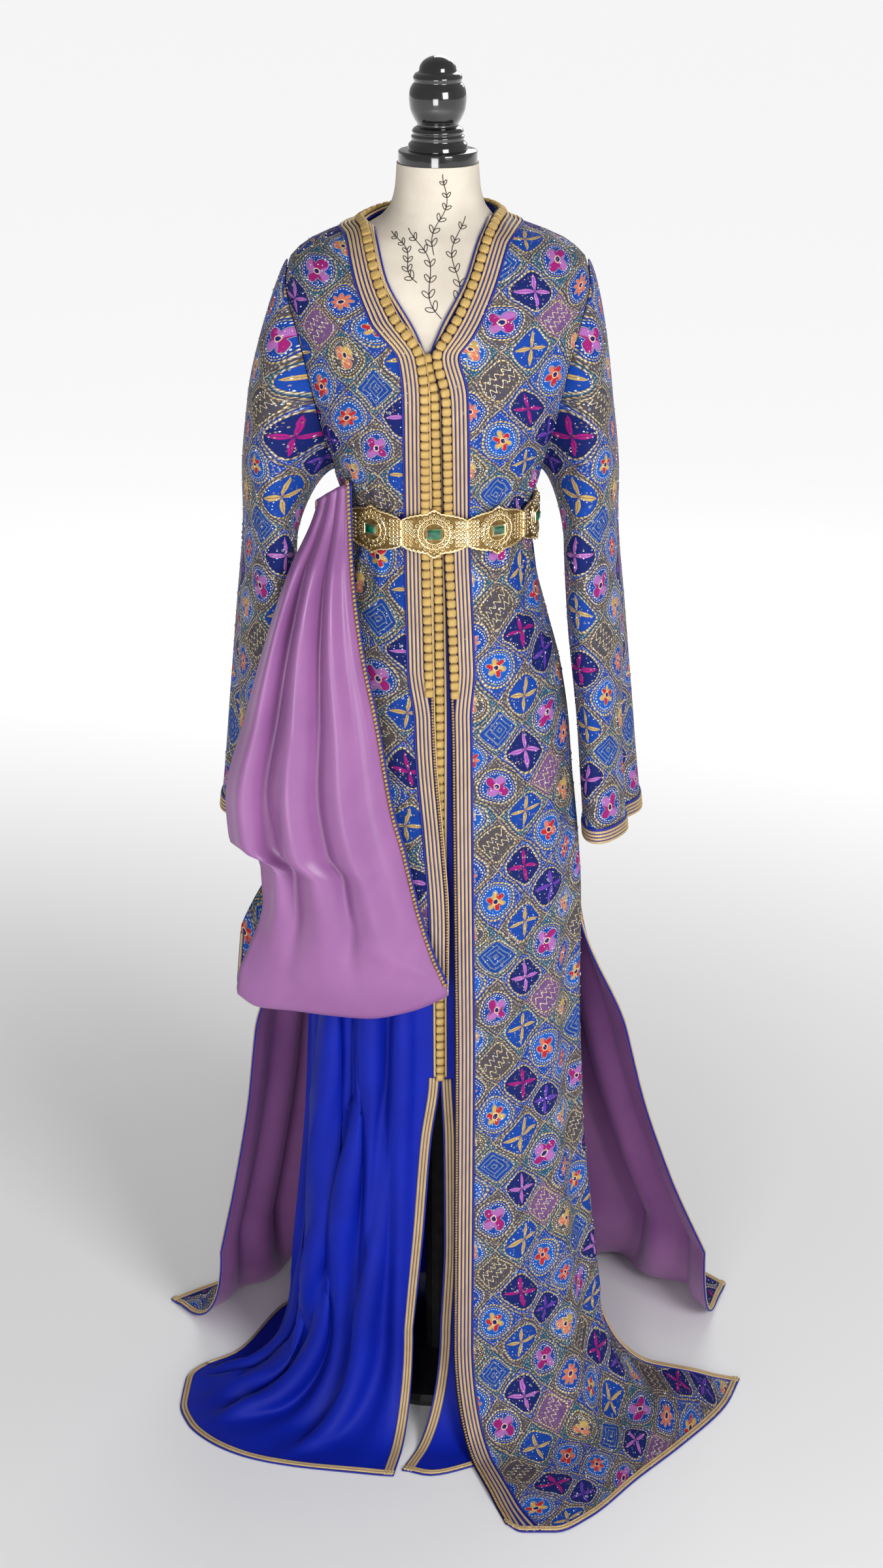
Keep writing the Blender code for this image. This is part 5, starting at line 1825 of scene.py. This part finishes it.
belt = {
    "plates": 9, "turn": 0.004, "ringRise": 0.018, "lift": 0.0138, "plate": 0.0020, "rim": 0.0017,
    "recess": 0.0009, "endHeight": 0.0150, "swell": 0.0072, "crown": 0.0052, "scallop": 0.0009,
    "stone": (0.0150, 0.0104), "smallStone": 0.84, "bezel": 0.0026, "stoneRise": 0.0028,
    "plateGap": 0.0003, "innerRings": (0.0150, 0.0142), "outerRings": (0.0205, 0.0192), "gridPitch": 0.0043,
    "barrels": (-0.0098, 0.0, 0.0098), "barrel": (0.0021, 0.0086), "barrelRise": 0.0026,
    "barrelBevel": 0.0004, "bezelThick": 0.0026, "bezelMiddle": 0.0024, "bezelWall": 0.0010,
    "bezelDepth": 0.0009, "bezelBevel": 0.0003, "girdle": 0.0018,
}
# A stone's steps above its girdle: how high each is and how much smaller
stoneSteps = ((0.0010, (0.88, 0.83, 1)), (0.0009, (0.80, 0.72, 1)))
# A ring and a wire give their radius, thickness and sides, a grain its radius and sides
filigreeSizes = {
    "ring": (0.0021, 0.00050, 11, 5), "grain": (0.00085, 6, 4), "wire": (0.0120, 0.00060, 40, 5),
    "ringRise": 0.0005, "wireRise": 0.0006, "outerWire": 1.47, "margin": 0.0030, "gridStart": 0.0250,
    "gridEnd": 0.0020, "gridSize": 0.92, "grainSize": 0.9, "rimGrains": 60, "rimReach": 0.985,
    "rimIn": 0.0009, "rimRise": 0.0001, "rimSize": 1.15, "crownRise": 0.0003,
    "crown": ((0, 0.0262, 2.4), (0.0042, 0.0246, 1.8), (-0.0042, 0.0246, 1.8), (0, 0.0222, 1.6)),
}


def beltRing():
    angles = np.linspace(0, 2 * math.pi, 721)
    height = heightsOf["belt"] + belt["ringRise"] + 0 * angles
    ring = lifted(angles, height, belt["lift"] + 0 * angles)
    ring[:, 2] = 0
    return ring, travelOf(ring)


def plateHalf(share):
    share = np.abs(share)
    return (
        belt["endHeight"] + belt["swell"] * (1 - share**2.6)
        + belt["crown"] * np.exp(-((share / 0.16) ** 2))
        + belt["scallop"] * np.abs(np.cos(7 * math.pi * share)) * (share < 0.96)
    )


def plateBlank(half):
    # The flat plate, with a raised rim round a sunk field
    newModel()
    shares = np.linspace(1, -1, 57)
    above = np.stack([shares * half, plateHalf(shares)], axis=-1)
    outline = np.concatenate([above, above[::-1] * (1, -1)])
    bpy.ops.mesh.primitive_circle_add(vertices=len(outline), radius=half, fill_type="NGON")
    made = bpy.context.object
    flat = np.concatenate([outline, np.zeros((len(outline), 1))], axis=1)
    made.data.vertices.foreach_set("co", flat.reshape(-1))
    made.data.update()
    editAll()
    bpy.ops.mesh.extrude_region_move(TRANSFORM_OT_translate={"value": (0, 0, belt["plate"])})
    bpy.ops.mesh.inset(thickness=belt["rim"], depth=0)
    bpy.ops.transform.translate(value=(0, 0, -belt["recess"]))
    bpy.ops.mesh.select_all(action="SELECT")
    bpy.ops.mesh.normals_make_consistent(inside=False)
    for share in np.linspace(-1, 1, 15)[1:-1]:
        bpy.ops.mesh.select_all(action="SELECT")
        bpy.ops.mesh.bisect(plane_co=(share * half, 0, 0), plane_no=(1, 0, 0))
    bpy.ops.object.mode_set(mode="OBJECT")
    field = belt["plate"] - belt["recess"]
    for face in made.data.polygons:
        if face.normal.z > 0.9 and abs(face.center.z - field) < 0.0001:
            face.material_index = 1
    return shapeOf(made)


def bezelShape():
    wide, tall = (size + belt["bezel"] for size in belt["stone"])
    made = block((wide, tall, belt["bezelThick"]), belt["bezelMiddle"])
    selectTop(made)
    bpy.ops.mesh.inset(thickness=belt["bezelWall"], depth=0)
    bpy.ops.transform.translate(value=(0, 0, -belt["bezelDepth"]))
    bpy.ops.mesh.select_all(action="SELECT")
    bpy.ops.mesh.bevel(offset=belt["bezelBevel"], segments=2, affect="EDGES")
    return shapeOf(made)


def stoneShape():
    # A step cut: a girdle and two smaller steps up to the table
    made = block((*belt["stone"], belt["girdle"]), belt["girdle"] / 2)
    for rise, shrink in stoneSteps:
        selectTop(made)
        bpy.ops.mesh.extrude_region_move(TRANSFORM_OT_translate={"value": (0, 0, rise)})
        bpy.ops.transform.resize(value=shrink)
    return shapeOf(made)


def hingeShape():
    newModel()
    radius, length = belt["barrel"]
    bpy.ops.mesh.primitive_cylinder_add(
        vertices=14, radius=radius, depth=length, rotation=(math.pi / 2, 0, 0),
    )
    made = bpy.context.object
    bpy.ops.object.transform_apply(location=True, rotation=True, scale=True)
    editAll()
    bpy.ops.mesh.bevel(offset=belt["barrelBevel"], segments=2, affect="EDGES")
    return shapeOf(made)


def flatStamped(shape, places, sizes=1.0):
    count = len(places)
    axes = [np.tile(axis, (count, 1)) for axis in ((1.0, 0, 0), (0, 1.0, 0), (0, 0, 1.0))]
    return stamped(shape, np.array(places, float), *axes, sizes)


def filigree(half):
    # Rings with a grain in each, rows of grains on the rim, and a crown at top and bottom
    given = filigreeSizes
    ring, grain = ringShape(*given["ring"]), ballShape(*given["grain"])
    wire = ringShape(*given["wire"])
    field = belt["plate"] - belt["recess"]
    level, margin, pitch = field + given["ringRise"], given["margin"], belt["gridPitch"]
    rings, sizes = [], []
    for (wide, tall), count, lead, size in (
        (belt["innerRings"], 16, 0, 1.05), (belt["outerRings"], 20, 0.15, 1.0),
    ):
        for turn in np.linspace(0, 2 * math.pi, count + 1)[:-1] + lead:
            x, y = wide * math.cos(turn), tall * math.sin(turn)
            if abs(y) < plateHalf(x / half) - margin:
                rings.append((x, y, level))
                sizes.append(size)
    for x in np.arange(given["gridStart"], half - given["gridEnd"], pitch):
        for y in np.arange(-3 * pitch, 3.02 * pitch, pitch):
            if abs(y) < plateHalf(x / half) - margin:
                rings += [(x, y, level), (-x, y, level)]
                sizes += [given["gridSize"]] * 2
    grains = list(rings)
    grainSizes = [given["grainSize"]] * len(rings)
    top = belt["plate"] + given["rimRise"]
    for share in np.linspace(-given["rimReach"], given["rimReach"], given["rimGrains"]):
        x, high = share * half, plateHalf(share) - given["rimIn"]
        grains += [(x, high, top), (x, -high, top)]
        grainSizes += [given["rimSize"]] * 2
    for x, y, size in given["crown"]:
        for sign in (1, -1):
            grains.append((x, y * sign, belt["plate"] + given["crownRise"]))
            grainSizes.append(size)
    middle = [(0, 0, field + given["wireRise"])]
    shapes = [
        flatStamped(ring, rings, np.array(sizes)), flatStamped(grain, grains, np.array(grainSizes)),
        flatStamped(wire, middle), flatStamped(wire, middle, given["outerWire"]),
    ]
    barrels = [(half + belt["plateGap"], y, belt["barrelRise"]) for y in belt["barrels"]]
    shapes.append(flatStamped(hingeShape(), barrels))
    return merged(shapes)


def addBelt():
    ring, travel = beltRing()
    pitch = travel[-1] / belt["plates"]
    half = pitch / 2 - belt["plateGap"]
    plate = merged([plateBlank(half), filigree(half), bezelShape()])
    stone = stoneShape()
    for index in range(belt["plates"]):
        middle = index * pitch - belt["turn"]
        number = "%02d" % (index + 1)
        for shape, name, finishes, slotName, sharp in (
            (plate, "belt_plate_" + number, (finish["brass"], finish["patina"]), "gilt_brass", 40),
            (stone, "stone_" + number, (finish["glass"],), "green_glass", 10),
        ):
            points, corners, picks = shape
            if slotName == "green_glass":
                points = points * (1 if index == 0 else belt["smallStone"])
                points = points + np.array([0, 0, belt["stoneRise"]])
            places = (middle + points[:, 0]) % travel[-1]
            plan, ahead, behind = (
                readAt((places + step) % travel[-1], travel, ring[:, :2]) for step in (0, 0.001, -0.001)
            )
            along = unit(ahead - behind)
            out = np.stack([along[:, 1], -along[:, 0]], axis=-1)
            bent = np.concatenate([
                plan + out * points[:, 2:3], (heightsOf["belt"] + points[:, 1])[:, None],
            ], axis=-1)
            addShape(name + "_shown", (bent, corners, picks), finishes, name, sharp)


addBelt()
print("belt")


# Sequins and beads sewn over the embroidery

sewn = {
    "rings": 620, "beads": 2600, "front": 5, "ring": (0.0013, 0.00045, 9, 4), "bead": (0.0008, 5, 3),
    "ringRise": 0.0003, "beadRise": 0.0005, "tilt": 0.10,
}


def scattered(points, sign, count, firstColumn, lastRow):
    # Random places on a panel, as many to each square of cloth
    normals = outwards(points, sign)
    grid = points[:lastRow, firstColumn:]
    across = np.linalg.norm(np.diff(grid, axis=1), axis=-1)[:-1]
    down = np.linalg.norm(np.diff(grid, axis=0), axis=-1)[:, :-1]
    area = (across * down).reshape(-1)
    cells = dice.choice(len(area), size=count, p=area / area.sum())
    row, column = np.divmod(cells, across.shape[1])
    a, b = dice.random(count)[:, None], dice.random(count)[:, None]
    near = grid[row, column] * (1 - a) + grid[row, column + 1] * a
    far = grid[row + 1, column] * (1 - a) + grid[row + 1, column + 1] * a
    return near * (1 - b) + far * b, normals[row, column + firstColumn]


def addSewn():
    sequin, grain = ringShape(*sewn["ring"]), ballShape(*sewn["bead"])
    kinds = ((sequin, sewn["rings"], sewn["ringRise"]), (grain, sewn["beads"], sewn["beadRise"]))
    areas = (
        ("right", -1, 0.30, sewn["front"], None), ("left", 1, 0.16, sewn["front"], panels["leftBody"]),
        ("back", -1, 0.26, 1, None), ("sleeve_left", -1, 0.14, 0, -3), ("sleeve_right", 1, 0.14, 0, -3),
    )
    # Panel, side of its face, share of the pieces, first column and last row
    for name, sign, share, firstColumn, lastRow in areas:
        shapes = []
        for shape, total, rise in kinds:
            places, outs = scattered(panels[name], sign, int(total * share), firstColumn, lastRow)
            spin = dice.normal(size=places.shape)
            tilt = unit(outs + dice.normal(size=outs.shape) * sewn["tilt"])
            across = unit(np.cross(spin, tilt))
            places = places + outs * (cloth["embroidered"] + rise)
            shapes.append(stamped(shape, places, across, np.cross(tilt, across), tilt))
        shapes[1] = (shapes[1][0], shapes[1][1], shapes[1][2] + 1)
        finishes = (finish["sequin"], finish["pearl"])
        addShape(name + "_sequins", merged(shapes), finishes)


addSewn()
print("sequins")


# The turned finial and the neck cap

turned = {
    "capRadius": 0.043, "capHeight": 0.013, "gap": 0.0003,
    "profile": (
        (0.0, 0.0985), (0.0070, 0.0974), (0.0155, 0.0929), (0.0195, 0.0868), (0.0205, 0.0822),
        (0.0245, 0.0795), (0.0266, 0.0752), (0.0254, 0.0712), (0.0272, 0.0686), (0.0298, 0.0639),
        (0.0312, 0.0548), (0.0302, 0.0442), (0.0262, 0.0336), (0.0222, 0.0262), (0.0262, 0.0226),
        (0.0280, 0.0195), (0.0271, 0.0166), (0.0290, 0.0140), (0.0284, 0.0104), (0.0318, 0.0060),
        (0.0322, 0.0), (0.0, 0.0),
    ),
}


def addFinial():
    foot = heightsOf["neckTop"] + turned["capHeight"] + 2 * turned["gap"]
    rows = [(index, radius, rise) for index, (radius, rise) in enumerate(turned["profile"][:-2])]
    radius, rise = curveAt(rows, np.linspace(0, len(rows) - 1, 120))
    chain = [(r, 0, foot + z) for r, z in zip(radius, rise)]
    chain += [(turned["profile"][-2][0], 0, foot), (0, 0, foot)]
    mesh = bpy.data.meshes.new("finial_shown")
    mesh.from_pydata(chain, [(index, index + 1) for index in range(len(chain) - 1)], [])
    piece = addPiece("finial_shown", mesh, (finish["black"],))
    newModel()
    piece.select_set(True)
    bpy.context.view_layer.objects.active = piece
    bpy.ops.object.mode_set(mode="EDIT")
    bpy.ops.mesh.select_mode(type="VERT")
    bpy.ops.mesh.select_all(action="SELECT")
    bpy.ops.mesh.spin(steps=72, angle=2 * math.pi, center=(0, 0, 0), axis=(0, 0, 1))
    bpy.ops.mesh.select_all(action="SELECT")
    bpy.ops.mesh.remove_doubles(threshold=0.00001)
    bpy.ops.mesh.normals_make_consistent(inside=False)
    bpy.ops.object.mode_set(mode="OBJECT")
    mesh.shade_smooth()
    mesh.set_sharp_from_angle(angle=math.radians(60))
    slotted(piece, "finial")


def addNeckCap():
    newModel()
    middle = heightsOf["neckTop"] + turned["gap"] + turned["capHeight"] / 2
    bpy.ops.mesh.primitive_cylinder_add(
        vertices=96, radius=turned["capRadius"], depth=turned["capHeight"], location=(0, 0, middle),
    )
    made = bpy.context.object
    bpy.ops.object.transform_apply(location=True, rotation=True, scale=True)
    selectTop(made)
    bpy.ops.mesh.bevel(offset=0.0022, segments=4, affect="EDGES")
    addShape("neck_cap_shown", shapeOf(made), (finish["black"],), "neck_cap", 50)


addFinial()
addNeckCap()
print("finial")


# Floor and light

stage = {
    "floor": (0.86, 0.86, 0.86), "world": 0.34, "seen": 1.0, "sweep": 0.62, "aim": (0, 0, 0.8),
}
# Name, place, size and power
lamps = (
    ("key", (1.7, -2.8, 2.2), 1.2, 80.0),
    ("fill", (-0.5, -3.5, 1.0), 1.2, 46.0),
    ("rim", (0.6, 2.4, 2.6), 1.6, 24.0),
)


def addStage():
    bpy.ops.object.select_all(action="DESELECT")
    bpy.ops.mesh.primitive_plane_add(size=40, location=(0, 0, -0.0004))
    floor = bpy.context.object
    floor.name = "floor"
    made, tree, shader = startMaterial("floor")
    shader.inputs["Base Color"].default_value = (*stage["floor"], 1)
    shader.inputs["Roughness"].default_value = 0.9
    # The floor glows away from the figure, like a lit sweep of paper
    x, y, unused = split(tree, objectPlace(tree))
    away = (x * x + y * y).work("SQRT").between(0.5, 3.2)
    tree.links.new(blend(tree, away, (0, 0, 0), (1, 1, 1)), shader.inputs["Emission Color"])
    shader.inputs["Emission Strength"].default_value = stage["sweep"]
    floor.data.materials.append(made)
    world = bpy.data.worlds.new("studio")
    bpy.context.scene.world = world
    world.use_nodes = True
    back = world.node_tree.nodes["Background"]
    back.inputs["Color"].default_value = (1, 1, 1, 1)
    # The backdrop that the camera sees is paler than the light it gives
    nodes, links = world.node_tree.nodes, world.node_tree.links
    rays, mix = nodes.new("ShaderNodeLightPath"), nodes.new("ShaderNodeMapRange")
    mix.inputs["To Min"].default_value = stage["world"]
    mix.inputs["To Max"].default_value = stage["seen"]
    links.new(rays.outputs["Is Camera Ray"], mix.inputs["Value"])
    links.new(mix.outputs["Result"], back.inputs["Strength"])
    for name, place, size, power in lamps:
        lamp = bpy.data.lights.new(name, "AREA")
        lamp.size, lamp.energy = size, power
        shown = bpy.data.objects.new(name, lamp)
        shown.location = place
        aim = np.array(stage["aim"]) - np.array(place)
        shown.rotation_euler = (
            math.atan2(np.hypot(aim[0], aim[1]), -aim[2]), 0, math.atan2(aim[1], aim[0]) - math.pi / 2,
        )
        bpy.context.scene.collection.objects.link(shown)
    bpy.context.scene.view_settings.view_transform = "Standard"


addStage()
print("stage")
